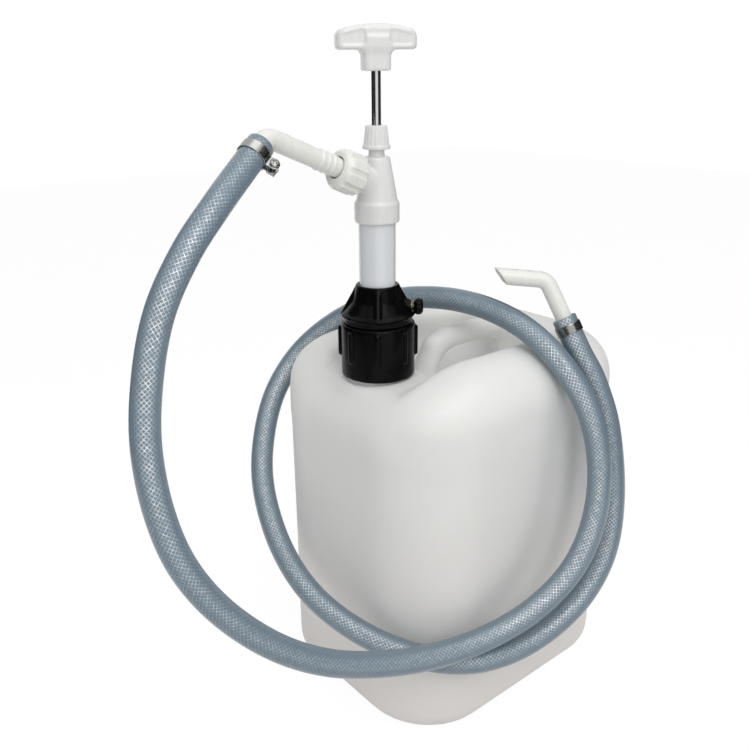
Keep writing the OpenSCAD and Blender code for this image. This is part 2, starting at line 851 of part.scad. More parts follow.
module outlet_nut() {
    rib_angle = 360 / nut_ribs * nut_rib_share;
    rib_chord = 2 * nut_core_r * sin(rib_angle / 2);
    color(ivory_pp)
        on_outlet() translate([0, 0, nut_start])
            difference() {
                intersection() {
                    union() {
                        cylinder(h = nut_l, r = nut_core_r);
                        for (i = [0 : nut_ribs - 1])
                            rotate(360 / nut_ribs * (i + 0.5)) translate([0, -rib_chord / 2, 0])
                                cube([nut_d / 2, rib_chord, nut_l]);
                    }
                    rotate_extrude()
                        polygon([
                            [0, 0], [nut_d / 2, 0], [nut_d / 2, nut_l - nut_edge],
                            [nut_d / 2 - nut_edge, nut_l], [0, nut_l]
                        ]);
                }
                translate([0, 0, -over]) cylinder(h = nut_face - nut_start + over, r = nut_bore_r);
                cylinder(h = nut_l + over, r = nut_hole_r);
            }
}

module outlet_gasket() {
    color(seal_black) on_outlet() tube(collet_r, pipe_bore_r, spigot_end, gasket_flat);
}

// Wall of a barbed pipe end, as points for turning: bare pipe to z 0, then barbs inside the hose
function barb_profile(r, bore_r, start) =
    concat(
        [[bore_r, start], [r, start], [r, 0], [barb_root, 0]],
        [for (i = [0 : barb_count - 1], side = [0, 1])
            side == 0 ? [barb_root, barb_l - barb_step * (barb_count - i)]
                : [barb_r, barb_l - barb_step * (barb_count - i)]],
        [[barb_root, barb_l], [bore_r, barb_l]]
    );

// Bend of a pipe that leaves +Z towards +X, a little thicker than the pipe as moulded bends are
module pipe_turn(r, bore_r) {
    translate([bend_r, 0, 0]) rotate([90, 0, 0]) rotate([0, 0, 180 - pipe_bend])
        rotate_extrude(angle = pipe_bend)
            translate([bend_r, 0])
                difference() {
                    circle(r + bend_swell);
                    circle(bore_r - bend_swell);
                }
}

module outlet_elbow() {
    straight_end = outlet_run - bend_lead;
    ridge_points = [for (i = [0 : ridge_count - 1], k = [-1 : 1])
        [k == 0 ? ridge_r : pipe_r, ridge_start + ridge_step * i + k * ridge_w / 2]];
    color(ivory_pp) {
        on_outlet() {
            rotate_extrude()
                polygon(concat(
                    [
                        [pipe_bore_r, collet_start], [collet_r, collet_start],
                        [collet_r, collet_start + collet_t], [pipe_r, collet_start + collet_t]
                    ],
                    ridge_points,
                    [[pipe_r, straight_end], [pipe_bore_r, straight_end]]
                ));
            translate([0, 0, straight_end]) rotate(elbow_spin) pipe_turn(pipe_r, pipe_bore_r);
        }
        along(hose_start, elbow_dir, 0)
            rotate_extrude() polygon(barb_profile(pipe_r, pipe_bore_r, -hose_setback));
    }
}

// Hose

module hose() {
    tangents = path_tangents(path);
    normals = path_normals(tangents, [0, 1, 0]);
    rings = len(path);
    ring_points = function (r)
        [for (i = [0 : rings - 1], k = [0 : hose_sides - 1])
            let (a = 360 / hose_sides * k)
            path[i] + r * (cos(a) * normals[i] + sin(a) * cross(tangents[i], normals[i]))];
    side_faces = function (start, flip)
        [for (i = [0 : rings - 2], k = [0 : hose_sides - 1], half = [0, 1])
            let (
                a = start + i * hose_sides + k,
                b = start + i * hose_sides + (k + 1) % hose_sides,
                c = b + hose_sides,
                d = a + hose_sides,
                tri = half == 0 ? [a, b, c] : [a, c, d]
            )
            flip ? [tri[2], tri[1], tri[0]] : tri];
    end_faces = function (ring, flip)
        [for (k = [0 : hose_sides - 1], half = [0, 1])
            let (
                a = ring * hose_sides + k,
                b = ring * hose_sides + (k + 1) % hose_sides,
                c = b + rings * hose_sides,
                d = a + rings * hose_sides,
                tri = half == 0 ? [a, b, c] : [a, c, d]
            )
            flip ? [tri[2], tri[1], tri[0]] : tri];
    color(hose_blue)
        polyhedron(
            concat(ring_points(hose_r), ring_points(hose_fit)),
            concat(
                side_faces(0, true), side_faces(rings * hose_sides, false),
                end_faces(0, false), end_faces(rings - 1, true)
            )
        );
}

module on_elbow_clamp() {
    along(hose_start + clamp_setback * elbow_dir, elbow_dir, clamp_turn) children();
}

module on_nozzle_clamp() {
    along(hose_end - clamp_setback * nozzle_dir, nozzle_dir, nozzle_clamp_turn) children();
}

// Band round the hose along Z, with two ears towards +X
module band_shape() {
    difference() {
        union() {
            cylinder(h = band_w, r = band_r + band_t, center = true);
            for (side = [-1, 1])
                translate([band_r, side * (ear_gap + ear_t) / 2 - ear_t / 2, -band_w / 2])
                    cube([ear_l, ear_t, band_w]);
        }
        cylinder(h = band_w + over, r = band_r, center = true);
        translate([band_r / 2, -ear_gap / 2, -band_w]) cube([band_r + ear_l, ear_gap, 2 * band_w]);
        translate([ear_mid, 0, 0]) rotate([90, 0, 0])
            cylinder(h = 4 * ear_gap, r = ear_hole_r, center = true);
    }
}

// Pan head screw through the ears, its head towards +Y
module screw_shape() {
    reach = ear_gap / 2 + ear_t;
    translate([ear_mid, reach, 0]) rotate([90, 0, 0])
        cylinder(h = 2 * reach + clamp_nut_t + screw_tail, d = screw_d);
    translate([ear_mid, reach, 0]) rotate([-90, 0, 0])
        difference() {
            cylinder(h = clamp_head_t, r1 = clamp_head_r, r2 = clamp_head_r - 0.8);
            for (turn = [0, 90])
                rotate(turn) translate([-2, -0.45, clamp_head_t - 1]) cube([4, 0.9, 2]);
        }
}

module lock_nut_shape() {
    reach = ear_gap / 2 + ear_t;
    translate([ear_mid, -reach - clamp_nut_t / 2, 0])
        difference() {
            cube([clamp_nut_w, clamp_nut_t, clamp_nut_w], center = true);
            rotate([90, 0, 0]) cylinder(h = 2 * clamp_nut_t, d = screw_d, center = true);
        }
}

module clamp_band() {
    color(steel) on_elbow_clamp() band_shape();
}

module clamp_screw() {
    color(steel) on_elbow_clamp() screw_shape();
}

module clamp_lock_nut() {
    color(steel) on_elbow_clamp() lock_nut_shape();
}

module nozzle_band() {
    color(steel) on_nozzle_clamp() band_shape();
}

module nozzle_screw() {
    color(steel) on_nozzle_clamp() screw_shape();
}

module nozzle_lock_nut() {
    color(steel) on_nozzle_clamp() lock_nut_shape();
}

// Bent spout with an oblique mouth
module nozzle() {
    r = nozzle_d / 2;
    bore_r = r - pipe_wall;
    side = 4 * nozzle_d;
    color(ivory_pp)
        along(hose_end, nozzle_dir, nozzle_turn) {
            rotate([180, 0, 0])
                rotate_extrude() polygon(barb_profile(r, bore_r, bend_lead - nozzle_arm));
            translate([0, 0, nozzle_arm - bend_lead]) pipe_turn(r, bore_r);
            translate([0, 0, nozzle_arm]) rotate([0, pipe_bend, 0])
                difference() {
                    tube(r, bore_r, bend_lead, mouth_arm - bend_lead);
                    translate([0, 0, mouth_arm - r * tan(mouth_slant)]) rotate([0, mouth_slant, 0])
                        translate([-side / 2, -side / 2, 0]) cube(side);
                }
        }
}

canister();
neck_gasket();
screw_ring();
adapter_cone();
clamp_insert();
clamp_stud();
clamp_knob();
pump_tube();
pump_head();
tube_seal();
gland_packing();
gland_nut();
foot_seat();
foot_ball();
foot_cage();
inlet_strainer();
piston_rod();
t_handle();
handle_insert();
piston_body();
piston_seal();
piston_cap();
piston_ball();
rod_nut();
outlet_nut();
outlet_gasket();
outlet_elbow();
hose();
clamp_band();
clamp_screw();
clamp_lock_nut();
nozzle_band();
nozzle_screw();
nozzle_lock_nut();
nozzle();
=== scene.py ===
from math import cos, pi, radians, sin, tan

import bmesh
import bpy
import numpy as np
from mathutils import Matrix, Vector


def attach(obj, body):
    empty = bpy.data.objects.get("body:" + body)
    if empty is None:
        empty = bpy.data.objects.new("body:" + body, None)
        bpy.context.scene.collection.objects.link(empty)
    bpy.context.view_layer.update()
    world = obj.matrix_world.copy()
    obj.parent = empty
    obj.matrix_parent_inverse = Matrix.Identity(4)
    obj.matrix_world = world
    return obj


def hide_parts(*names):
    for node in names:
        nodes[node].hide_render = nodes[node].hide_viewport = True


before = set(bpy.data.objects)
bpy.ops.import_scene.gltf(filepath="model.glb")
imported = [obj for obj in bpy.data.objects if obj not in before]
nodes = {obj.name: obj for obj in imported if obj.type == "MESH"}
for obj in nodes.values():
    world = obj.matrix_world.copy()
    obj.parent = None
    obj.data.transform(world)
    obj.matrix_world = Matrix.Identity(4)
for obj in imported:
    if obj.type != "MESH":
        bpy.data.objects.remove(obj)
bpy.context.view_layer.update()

# Camera: above the canister's near corner, looking down on it a little, as the photograph was taken.
# A plain lens with no shift; its angles follow the canister's edges and the pump's upright tube.
camera_place = (-0.5475, -0.5488, 0.5996)
camera_turn = radians(-39.35)
camera_tilt = radians(20.74)
camera_roll = radians(0.57)
level = Vector((-sin(camera_turn), cos(camera_turn), 0))
right = Vector((cos(camera_turn), sin(camera_turn), 0))
up = Vector((0, 0, 1))
sight = level * cos(camera_tilt) - up * sin(camera_tilt)
down = -level * sin(camera_tilt) - up * cos(camera_tilt)
across = right * cos(camera_roll) + down * sin(camera_roll)
upright = right * sin(camera_roll) - down * cos(camera_roll)
camera = bpy.data.objects.new("camera", bpy.data.cameras.new("camera"))
camera.data.sensor_width = 36
camera.data.lens = 39.81
camera.data.clip_start = 0.01
turn = Matrix((across, upright, -sight)).transposed().to_4x4()
camera.matrix_world = Matrix.Translation(camera_place) @ turn
bpy.context.scene.collection.objects.link(camera)
bpy.context.scene.camera = camera

# Studio: a plain white floor and a white surround, a key light, a wide one above and one on each side.
# Dark screens about the view, as used for white goods, draw the edges of steel and pale plastic.
pump_x = -0.093
floor_reach = 4
floor_white = (0.86, 0.86, 0.86, 1)
floor_glow = 1.06
floor_glow_share = 0.88
surround_light = 0.45
surround_seen = 1.0
pure_white = (1, 1, 1, 1)
felt_black = (0.03, 0.03, 0.03, 1)
screen_h = 1.3
floor_corners = [(floor_reach * i, floor_reach * j, 0) for i, j in ((-1, -1), (1, -1), (1, 1), (-1, 1))]
floor_mesh = bpy.data.meshes.new("studio_floor")
floor_mesh.from_pydata(floor_corners, [], [(0, 1, 2, 3)])
floor = bpy.data.objects.new("studio_floor", floor_mesh)
bpy.context.scene.collection.objects.link(floor)


def feed(tree, node, values):
    """Sets a shader node's inputs to values, or joins them to other nodes' outputs."""
    for key, value in values.items():
        if isinstance(value, bpy.types.NodeSocket):
            tree.links.new(value, node.inputs[key])
        else:
            node.inputs[key].default_value = value


def add(tree, kind, values=None, **settings):
    """A new shader node with its settings and inputs."""
    made = tree.nodes.new(kind)
    for key, value in settings.items():
        setattr(made, key, value)
    feed(tree, made, values or {})
    return made


def calc(tree, operation, *values):
    """Output of a math node on values or other nodes' outputs."""
    return add(tree, "ShaderNodeMath", dict(enumerate(values)), operation=operation).outputs[0]


def new_finish(name):
    """A material, its node tree and its shader, ready for use."""
    made = bpy.data.materials.new(name)
    made.use_nodes = True
    return made, made.node_tree, made.node_tree.nodes["Principled BSDF"]


def seen_directly(tree):
    """1 for what the camera sees itself, in a reflection or through glass."""
    path = add(tree, "ShaderNodeLightPath").outputs
    mirrored = calc(tree, "MAXIMUM", path["Is Camera Ray"], path["Is Glossy Ray"])
    return calc(tree, "MAXIMUM", mirrored, path["Is Transmission Ray"])


def white_floor():
    """Matt paper that keeps shadows and looks white where it is seen."""
    made, tree, shader = new_finish("white_floor")
    feed(tree, shader, {"Base Color": floor_white, "Roughness": 0.9, "Specular IOR Level": 0.1})
    glow = add(tree, "ShaderNodeEmission", {"Color": pure_white, "Strength": floor_glow})
    paper = add(tree, "ShaderNodeMixShader", {0: floor_glow_share, 1: shader.outputs[0], 2: glow.outputs[0]})
    both = add(tree, "ShaderNodeMixShader",
               {0: seen_directly(tree), 1: shader.outputs[0], 2: paper.outputs[0]})
    tree.links.new(both.outputs[0], tree.nodes["Material Output"].inputs["Surface"])
    return made


floor_mesh.materials.append(white_floor())
surround = bpy.data.worlds.new("surround")
surround.use_nodes = True
tree = surround.node_tree
lighting = add(tree, "ShaderNodeBackground", {"Color": pure_white, "Strength": surround_light})
backdrop = add(tree, "ShaderNodeBackground", {"Color": pure_white, "Strength": surround_seen})
both = add(tree, "ShaderNodeMixShader",
           {0: seen_directly(tree), 1: lighting.outputs[0], 2: backdrop.outputs[0]})
tree.links.new(both.outputs[0], tree.nodes["World Output"].inputs["Surface"])
bpy.context.scene.world = surround
bpy.context.scene.view_settings.view_transform = "Standard"


def soft_light(name, place, aim, size, power):
    """A flat lamp at a place, turned towards its aim."""
    lamp = bpy.data.lights.new(name, "AREA")
    lamp.shape = "RECTANGLE"
    lamp.size = size[0]
    lamp.size_y = size[1]
    lamp.energy = power
    made = bpy.data.objects.new(name, lamp)
    made.location = place
    made.rotation_euler = (Vector(aim) - Vector(place)).to_track_quat("-Z", "Y").to_euler()
    bpy.context.scene.collection.objects.link(made)


soft_light("key_light", place=(-0.45, -1.10, 1.40), aim=(-0.08, 0.0, 0.3), size=(0.8, 0.8), power=6.5)
soft_light("overhead_light", place=(-0.1, -0.3, 1.9), aim=(-0.05, -0.05, 0.3), size=(1.4, 0.9), power=5.5)
soft_light("right_light", place=(0.9, -1.5, 1.0), aim=(0.0, -0.1, 0.25), size=(0.8, 1.2), power=3.5)
soft_light("left_light", place=(-1.7, -0.3, 1.0), aim=(-0.1, 0.0, 0.3), size=(0.7, 1.2), power=4.0)


def dark_screen(name, place, width):
    """A black upright screen that faces the pump and shows in reflections only."""
    mesh = bpy.data.meshes.new(name)
    w = width / 2
    mesh.from_pydata([(-w, 0, 0), (w, 0, 0), (w, 0, screen_h), (-w, 0, screen_h)], [], [(0, 1, 2, 3)])
    made = bpy.data.objects.new(name, mesh)
    made.location = place
    toward = Vector((pump_x - place[0], -place[1], 0))
    made.rotation_euler = (0, 0, toward.to_track_quat("Y", "Z").to_euler().z)
    felt, tree, shader = new_finish(name)
    feed(tree, shader, {"Base Color": felt_black, "Roughness": 1.0, "Specular IOR Level": 0.0})
    mesh.materials.append(felt)
    made.visible_camera = False
    made.visible_shadow = False
    made.visible_diffuse = False
    bpy.context.scene.collection.objects.link(made)


for name, heading, width in (("left_screen", -40, 1.15), ("far_left_screen", -100, 1.15),
                             ("right_screen", 78, 1.15), ("far_right_screen", 136, 1.1)):
    swing = radians(heading)
    dark_screen(name, Vector((pump_x, 0, 0)) + right * sin(swing) - level * cos(swing), width)

# Canister: blown from natural polyethylene, milky and soft in sheen, with a sunk band round its sides.
# The neck stands in a pocket at one end; the hollow handle bridges a finger trough along the top.
# Its form is worked out in mm, as those of the other mouldings are.
can_half_l = 145
can_half_w = 120
can_h = 352
can_middle_z = 180
can_corner_r = 72
can_shoulder_r = 46
can_foot_r = 18
band_sink = 0.7
band_start_z = (50, 130)
band_end_z = (264, 282)
ramp_foot_x = -130
ramp_run = 62
ramp_rise = 21
ramp_slant = 65.5
brow_rise = 165
brow_slant = 176.3
pocket_x = -125
pocket_half_l = 105
pocket_half_w = 57
trough_x = 10
trough_half_l = 63
trough_half_w = 62
trough_floor_z = 306
handle_r = 11
handle_line = (
    (-34, 0, 296), (-32, 0, 326), (-24, 0, 340), (-8, 0, 347), (58, 0, 347), (74, 0, 338), (78, 0, 296),
)
seat_z = 331
seat_r = 36
seat_foot_z = 289.5
seat_top_z = 329.5
neck_x = 1000 * pump_x
neck_r = 29.3
neck_bore_r = 26.3
neck_bore_floor_z = 325
neck_foot_z = 327
neck_top_z = 366


def ease(value, start, end):
    """0 before start, 1 after end, smooth between."""
    t = np.clip((value - start) / (end - start), 0, 1)
    return t * t * (3 - 2 * t)


def meet(a, b, edge):
    """Where two forms overlap, with the edge between them rounded to a radius."""
    round_part = np.hypot(np.maximum(a + edge, 0), np.maximum(b + edge, 0))
    return np.minimum(np.maximum(a, b), -edge) + round_part


def join(a, b, fillet):
    """Two forms in one, with a fillet between them."""
    round_part = np.hypot(np.maximum(fillet - a, 0), np.maximum(fillet - b, 0))
    return np.maximum(np.minimum(a, b), fillet) - round_part


def layer(value, low, high):
    """Distance from a layer between two levels."""
    return np.abs(value - (low + high) / 2) - (high - low) / 2


def slab_plan(x, y, half_l, half_w, corner):
    """Distance from a rectangle with round corners."""
    qx = np.abs(x) - (half_l - corner)
    qy = np.abs(y) - (half_w - corner)
    return np.hypot(np.maximum(qx, 0), np.maximum(qy, 0)) + np.minimum(np.maximum(qx, qy), 0) - corner


def rod_between(x, y, z, start, end, r):
    """Distance from a round bar with ball ends."""
    p = np.stack([x - start[0], y - start[1], z - start[2]])
    line = np.array(end, float) - np.array(start, float)
    t = np.clip(np.tensordot(line, p, 1) / (line @ line), 0, 1)
    return np.sqrt(((p - line[:, None, None, None] * t) ** 2).sum(0)) - r


def skin(name, form, low, high, step, soften=0, place=None):
    """Mesh of the surface where a form's distance is 0, with one point to each cell that the surface crosses.
    soften rounds its edges by so many passes, and place puts it in the frame."""
    low = np.array(low, float)
    count = np.ceil((np.array(high) - low) / step).astype(int) + 1
    value = form(*np.meshgrid(*[low[i] + step * np.arange(count[i]) for i in range(3)], indexing="ij"))
    for axis in list(range(3)) * soften:
        last = value.shape[axis] - 1
        back = np.take(value, np.maximum(np.arange(last + 1) - 1, 0), axis)
        ahead = np.take(value, np.minimum(np.arange(last + 1) + 1, last), axis)
        value = 0.25 * back + 0.5 * value + 0.25 * ahead
    solid = value < 0
    corners = np.array([(i, j, k) for i in (0, 1) for j in (0, 1) for k in (0, 1)])
    filled = np.zeros(count - 1, int)
    for i, j, k in corners:
        filled += solid[i:count[0] - 1 + i, j:count[1] - 1 + j, k:count[2] - 1 + k]
    cells = np.argwhere((filled > 0) & (filled < 8))
    at = value[tuple((cells[:, None] + corners).transpose(2, 0, 1))]
    total = np.zeros((len(cells), 3))
    crossings = np.zeros(len(cells))
    for a in range(8):
        for b in range(a + 1, 8):
            if np.abs(corners[a] - corners[b]).sum() == 1:
                cut = (at[:, a] < 0) != (at[:, b] < 0)
                t = at[cut, a] / (at[cut, a] - at[cut, b])
                total[cut] += corners[a] + t[:, None] * (corners[b] - corners[a])
                crossings[cut] += 1
    points = low + step * (cells + total / crossings[:, None])
    index = np.full(count - 1, -1)
    index[tuple(cells.T)] = np.arange(len(cells))
    one = np.eye(3, dtype=int)
    faces = []
    for axis in range(3):
        lower = np.take(solid, np.arange(count[axis] - 1), axis)
        upper = np.take(solid, np.arange(1, count[axis]), axis)
        edge = np.argwhere(lower != upper)
        u = one[(axis + 1) % 3]
        v = one[(axis + 2) % 3]
        ring = [index[tuple((edge - shift).T)] for shift in (u + v, v, 0 * u, u)]
        quad = np.stack(ring, axis=1)
        outward = lower[tuple(edge.T)]
        quad[~outward] = quad[~outward][:, ::-1]
        faces.append(quad)
    mesh = bpy.data.meshes.new(name)
    mesh.from_pydata(points.tolist(), [], np.concatenate(faces).tolist())
    mesh.transform(Matrix.Scale(0.001, 4) @ (place or Matrix.Identity(4)))
    mesh.shade_smooth()
    made = bpy.data.objects.new(name, mesh)
    bpy.context.scene.collection.objects.link(made)
    return made


def canister_form(x, y, z):
    band = ease(z, *band_start_z) - ease(z, *band_end_z)
    side = slab_plan(x, y, can_half_l, can_half_w, can_corner_r) + band_sink * band
    ramp = (ramp_run * (z - seat_z) - ramp_rise * (x - ramp_foot_x)) / ramp_slant
    brow = (ramp_run * (z - seat_z) - brow_rise * (x - ramp_foot_x)) / brow_slant
    upper = meet(meet(side, z - can_h, can_shoulder_r), meet(ramp, brow, edge=24), edge=12)
    lower = meet(side, z - seat_z, can_shoulder_r)
    body = np.where(z > can_middle_z, np.minimum(upper, lower), meet(side, -z, can_foot_r))
    pocket = slab_plan(x - pocket_x, y, pocket_half_l, pocket_half_w, corner=20)
    pocket = meet(pocket, seat_z - z, edge=8)
    trough = slab_plan(x - trough_x, y, trough_half_l, trough_half_w, corner=30)
    trough = meet(trough, trough_floor_z - z, edge=24)
    body = meet(body, -join(pocket, trough, fillet=14), edge=9)
    handle = rod_between(x, y, z, handle_line[0], handle_line[1], handle_r)
    for start, end in zip(handle_line[1:], handle_line[2:]):
        handle = join(handle, rod_between(x, y, z, start, end, handle_r), fillet=4)
    body = join(body, handle, fillet=8)
    r = np.hypot(x - neck_x, y)
    seat = meet(r - seat_r, layer(z, seat_foot_z, seat_top_z), edge=2)
    bore = np.maximum(r - neck_bore_r, neck_bore_floor_z - z)
    return np.maximum(join(body, seat, fillet=5), -bore)


def open_mouth(piece, x, r, above):
    """Takes out the faces that would close the neck's bore."""
    work = bmesh.new()
    work.from_mesh(piece.data)
    shut = []
    for face in work.faces:
        middle = face.calc_center_median()
        if Vector((middle.x - x, middle.y)).length < r and middle.z > above:
            shut.append(face)
    bmesh.ops.delete(work, geom=shut, context="FACES")
    work.to_mesh(piece.data)
    work.free()


def sweep(name, centres, radii, sides, tangents=None):
    """A round skin along a line of centres, with a radius at each.
    Its UV map runs round it, once from 0 to 1, and along it, in metres."""
    centres = np.array(centres, float)
    rings = len(centres)
    tangents = np.gradient(centres, axis=0) if tangents is None else np.array(tangents)
    tangents /= np.linalg.norm(tangents, axis=1)[:, None]
    normal = np.array((0.0, 1.0, 0.0))
    angle = 2 * pi * np.arange(sides) / sides
    verts = []
    for centre, r, t in zip(centres, radii, tangents):
        normal = normal - t * (normal @ t)
        normal /= np.linalg.norm(normal)
        side = np.cross(t, normal)
        verts.append(centre + r * (np.cos(angle)[:, None] * normal + np.sin(angle)[:, None] * side))
    a = (np.arange(rings - 1)[:, None] * sides + np.arange(sides)).ravel()
    b = (np.arange(rings - 1)[:, None] * sides + (np.arange(sides) + 1) % sides).ravel()
    faces = np.stack([a, b, b + sides, a + sides], axis=1)
    mesh = bpy.data.meshes.new(name)
    mesh.from_pydata(np.concatenate(verts).tolist(), [], faces.tolist())
    along = np.concatenate([[0], np.cumsum(np.linalg.norm(np.diff(centres, axis=0), axis=1))])
    k = np.tile(np.arange(sides), rings - 1) / sides
    row = np.repeat(np.arange(rings - 1), sides)
    u = np.stack([k, k + 1 / sides, k + 1 / sides, k], axis=1)
    v = np.stack([along[row], along[row], along[row + 1], along[row + 1]], axis=1)
    mesh.uv_layers.new(name="round_and_along").data.foreach_set("uv", np.stack([u, v], axis=2).ravel())
    mesh.shade_smooth()
    made = bpy.data.objects.new(name, mesh)
    bpy.context.scene.collection.objects.link(made)
    return made


def ranged(tree, value, given, wanted=(0.0, 1.0), smooth=False):
    """A value brought from the range given to the range wanted."""
    ends = dict(enumerate((value, *given, *wanted)))
    kind = "SMOOTHSTEP" if smooth else "LINEAR"
    return add(tree, "ShaderNodeMapRange", ends, interpolation_type=kind).outputs[0]


def noise(tree, spot, scale, detail):
    """A cloudy value at each spot."""
    return add(tree, "ShaderNodeTexNoise", {"Vector": spot, "Scale": scale, "Detail": detail}).outputs[0]


def blend(tree, share, first, second, how="MIX"):
    """A colour between two others, by a share from 0 to 1."""
    made = add(tree, "ShaderNodeMix", {0: share, 6: first, 7: second}, data_type="RGBA", blend_type=how)
    return made.outputs[2]


def finish_group(name, inputs):
    """A node group with the inputs named, which puts out a colour, a roughness and a height."""
    made = bpy.data.node_groups.new(name, "ShaderNodeTree")
    for label, kind in inputs.items():
        made.interface.new_socket(label, in_out="INPUT", socket_type=kind)
    for label, kind in {"Color": "NodeSocketColor", "Roughness": "NodeSocketFloat",
                        "Height": "NodeSocketFloat"}.items():
        made.interface.new_socket(label, in_out="OUTPUT", socket_type=kind)
    given = made.nodes.new("NodeGroupInput").outputs
    spot = add(made, "ShaderNodeTexCoord").outputs["Object"]
    return made, given, spot


def moulded_skin_group():
    """Cloudy colour, uneven shine and fine grain of moulded plastic."""
    made, given, spot = finish_group("moulded_skin", {
        "Pale": "NodeSocketColor", "Shade": "NodeSocketColor", "Cloud Scale": "NodeSocketFloat",
        "Grain Scale": "NodeSocketFloat", "Shiny": "NodeSocketFloat", "Dull": "NodeSocketFloat",
    })
    cloud = ranged(made, noise(made, spot, given["Cloud Scale"], 5.0), (0.3, 0.7))
    stretch = add(made, "ShaderNodeMapping", {"Vector": spot, "Scale": (160.0, 160.0, 22.0)}).outputs[0]
    rub = noise(made, stretch, 1.0, 4.0)
    feed(made, made.nodes.new("NodeGroupOutput"), {
        "Color": blend(made, cloud, given["Pale"], given["Shade"]),
        "Roughness": ranged(made, rub, (0.35, 0.7), (given["Shiny"], given["Dull"])),
        "Height": noise(made, spot, given["Grain Scale"], 2.0),
    })
    return made


def finish_from(name, group, values, bump, depth, extra):
    """A material whose colour, roughness and relief come from a group; extra sets the rest of its shader."""
    made, tree, shader = new_finish(name)
    source = add(tree, "ShaderNodeGroup", values, node_tree=group).outputs
    relief = add(tree, "ShaderNodeBump", {"Height": source["Height"], "Strength": bump, "Distance": depth})
    feed(tree, shader, {"Base Color": source["Color"], "Roughness": source["Roughness"],
                        "Normal": relief.outputs[0], **extra})
    return made


moulded_skin = moulded_skin_group()
grain_depth = 0.0004


def moulded(name, pale, shade, cloud, grain, shiny, dull, bump, extra=None):
    """A moulded plastic finish; extra holds what the shader is given besides."""
    values = {"Pale": (*pale, 1), "Shade": (*shade, 1), "Cloud Scale": cloud, "Grain Scale": grain,
              "Shiny": shiny, "Dull": dull}
    return finish_from(name, moulded_skin, values, bump, grain_depth, extra or {})


canister = skin("canister_shell", canister_form, (-149, -124, -4), (149, 124, 370), step=3.4, soften=1)
open_mouth(canister, pump_x, r=0.0245, above=0.31)
neck_profile = (
    (neck_foot_z, neck_r), (neck_foot_z + 0.6, neck_r), (neck_top_z - 0.8, neck_r),
    (neck_top_z - 0.4, neck_r - 0.1), (neck_top_z, neck_r - 0.6), (neck_top_z, neck_bore_r + 0.6),
    (neck_top_z - 0.4, neck_bore_r + 0.1), (neck_top_z - 0.8, neck_bore_r), (neck_foot_z + 0.6, neck_bore_r),
    (neck_foot_z, neck_bore_r), (neck_foot_z, neck_r),
)
neck = sweep("canister_neck", [(pump_x, 0, z / 1000) for z, r in neck_profile],
             [r / 1000 for z, r in neck_profile], sides=96, tangents=[(0.0, 0.0, 1.0)] * len(neck_profile))
with bpy.context.temp_override(active_object=canister, selected_editable_objects=[canister, neck]):
    bpy.ops.object.join()


def milky_polyethylene():
    """Moulded plastic with painted shade: a warmer, darker tint painted towards the base, where less light
    comes through it.
    """
    made = moulded("milky_polyethylene", pale=(0.86, 0.86, 0.85), shade=(0.82, 0.82, 0.80), cloud=9.0,
                   grain=420.0, shiny=0.50, dull=0.64, bump=0.12,
                   extra={"Subsurface Weight": 0.45, "Subsurface Radius": (0.020, 0.019, 0.017),
                          "Subsurface Scale": 1.0})
    tree = made.node_tree
    base = tree.nodes["Principled BSDF"].inputs["Base Color"]
    place = add(tree, "ShaderNodeSeparateXYZ", {0: add(tree, "ShaderNodeTexCoord").outputs["Object"]})
    height = ranged(tree, place.outputs[2], (0.0, 0.27))
    # Painted shade: the colour is darkened and warmed towards the base and kept pale towards the top.
    painted_shade_tint = blend(tree, height, (1.0, 0.955, 0.935, 1), (1.0, 1.0, 0.995, 1))
    painted_base_shade = blend(tree, 1.0, base.links[0].from_socket, painted_shade_tint, how="MULTIPLY")
    tree.links.new(painted_base_shade, base)
    return made


canister.data.materials.append(milky_polyethylene())
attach(canister, "canister")
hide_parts("canister")

# Neck gasket and the other rubber rings: black nitrile, flat or round, squeezed between the moulded pieces.
# They keep their CAD shape, because all of it but an edge is hidden.
nitrile = moulded("nitrile_rubber", pale=(0.022, 0.022, 0.022), shade=(0.035, 0.034, 0.033), cloud=300.0,
                  grain=2500.0, shiny=0.55, dull=0.75, bump=0.2)


def dress(node, finish):
    """Gives a CAD node its finish."""
    nodes[node].data.materials.clear()
    nodes[node].data.materials.append(finish)


for ring in ("neck_gasket", "tube_seal", "outlet_gasket", "piston_seal"):
    dress(ring, nitrile)

# Screw ring: black polypropylene, moulded with eight upright grip ribs.
# It screws down on the canister's neck, and its lip holds the cone's flange.
ring_r = 33.25
ring_foot_z = 333
ring_top_z = 381.5
ring_thread_r = 29.8
ring_lip_r = 24.5
ring_lip_z = 374
ring_ribs = 8
ring_rib_r = 36.05
ring_rib_half_w = 2.1
ring_rib_foot_z = 349.5
ring_rib_top_z = 377.5
clamp_heading = radians(-40)
on_pump = Matrix.Translation((neck_x, 0, 0))
black_plastic = moulded("black_polypropylene", pale=(0.002, 0.002, 0.002), shade=(0.004, 0.004, 0.004),
                        cloud=70.0, grain=1500.0, shiny=0.16, dull=0.30, bump=0.05,
                        extra={"Specular IOR Level": 0.08})


def ribs_about(x, y, count, heading):
    """Distance along and across the nearest of so many ribs about Z."""
    r = np.hypot(x, y)
    pitch = 2 * pi / count
    fold = (np.arctan2(y, x) - heading + pitch / 2) % pitch - pitch / 2
    return r * np.cos(fold), r * np.sin(fold)


def screw_ring_form(x, y, z):
    r = np.hypot(x, y)
    drum = meet(meet(r - ring_r, z - ring_top_z, edge=2), ring_foot_z - z, edge=0.4)
    out, off = ribs_about(x, y, ring_ribs, clamp_heading)
    rib = meet(np.abs(off) - ring_rib_half_w, out - ring_rib_r, edge=1.2)
    rib = meet(rib, layer(z, ring_rib_foot_z, ring_rib_top_z), edge=1.2)
    bore = np.minimum(np.maximum(r - ring_thread_r, z - ring_lip_z), r - ring_lip_r)
    return np.maximum(join(drum, rib, fillet=1), -bore)


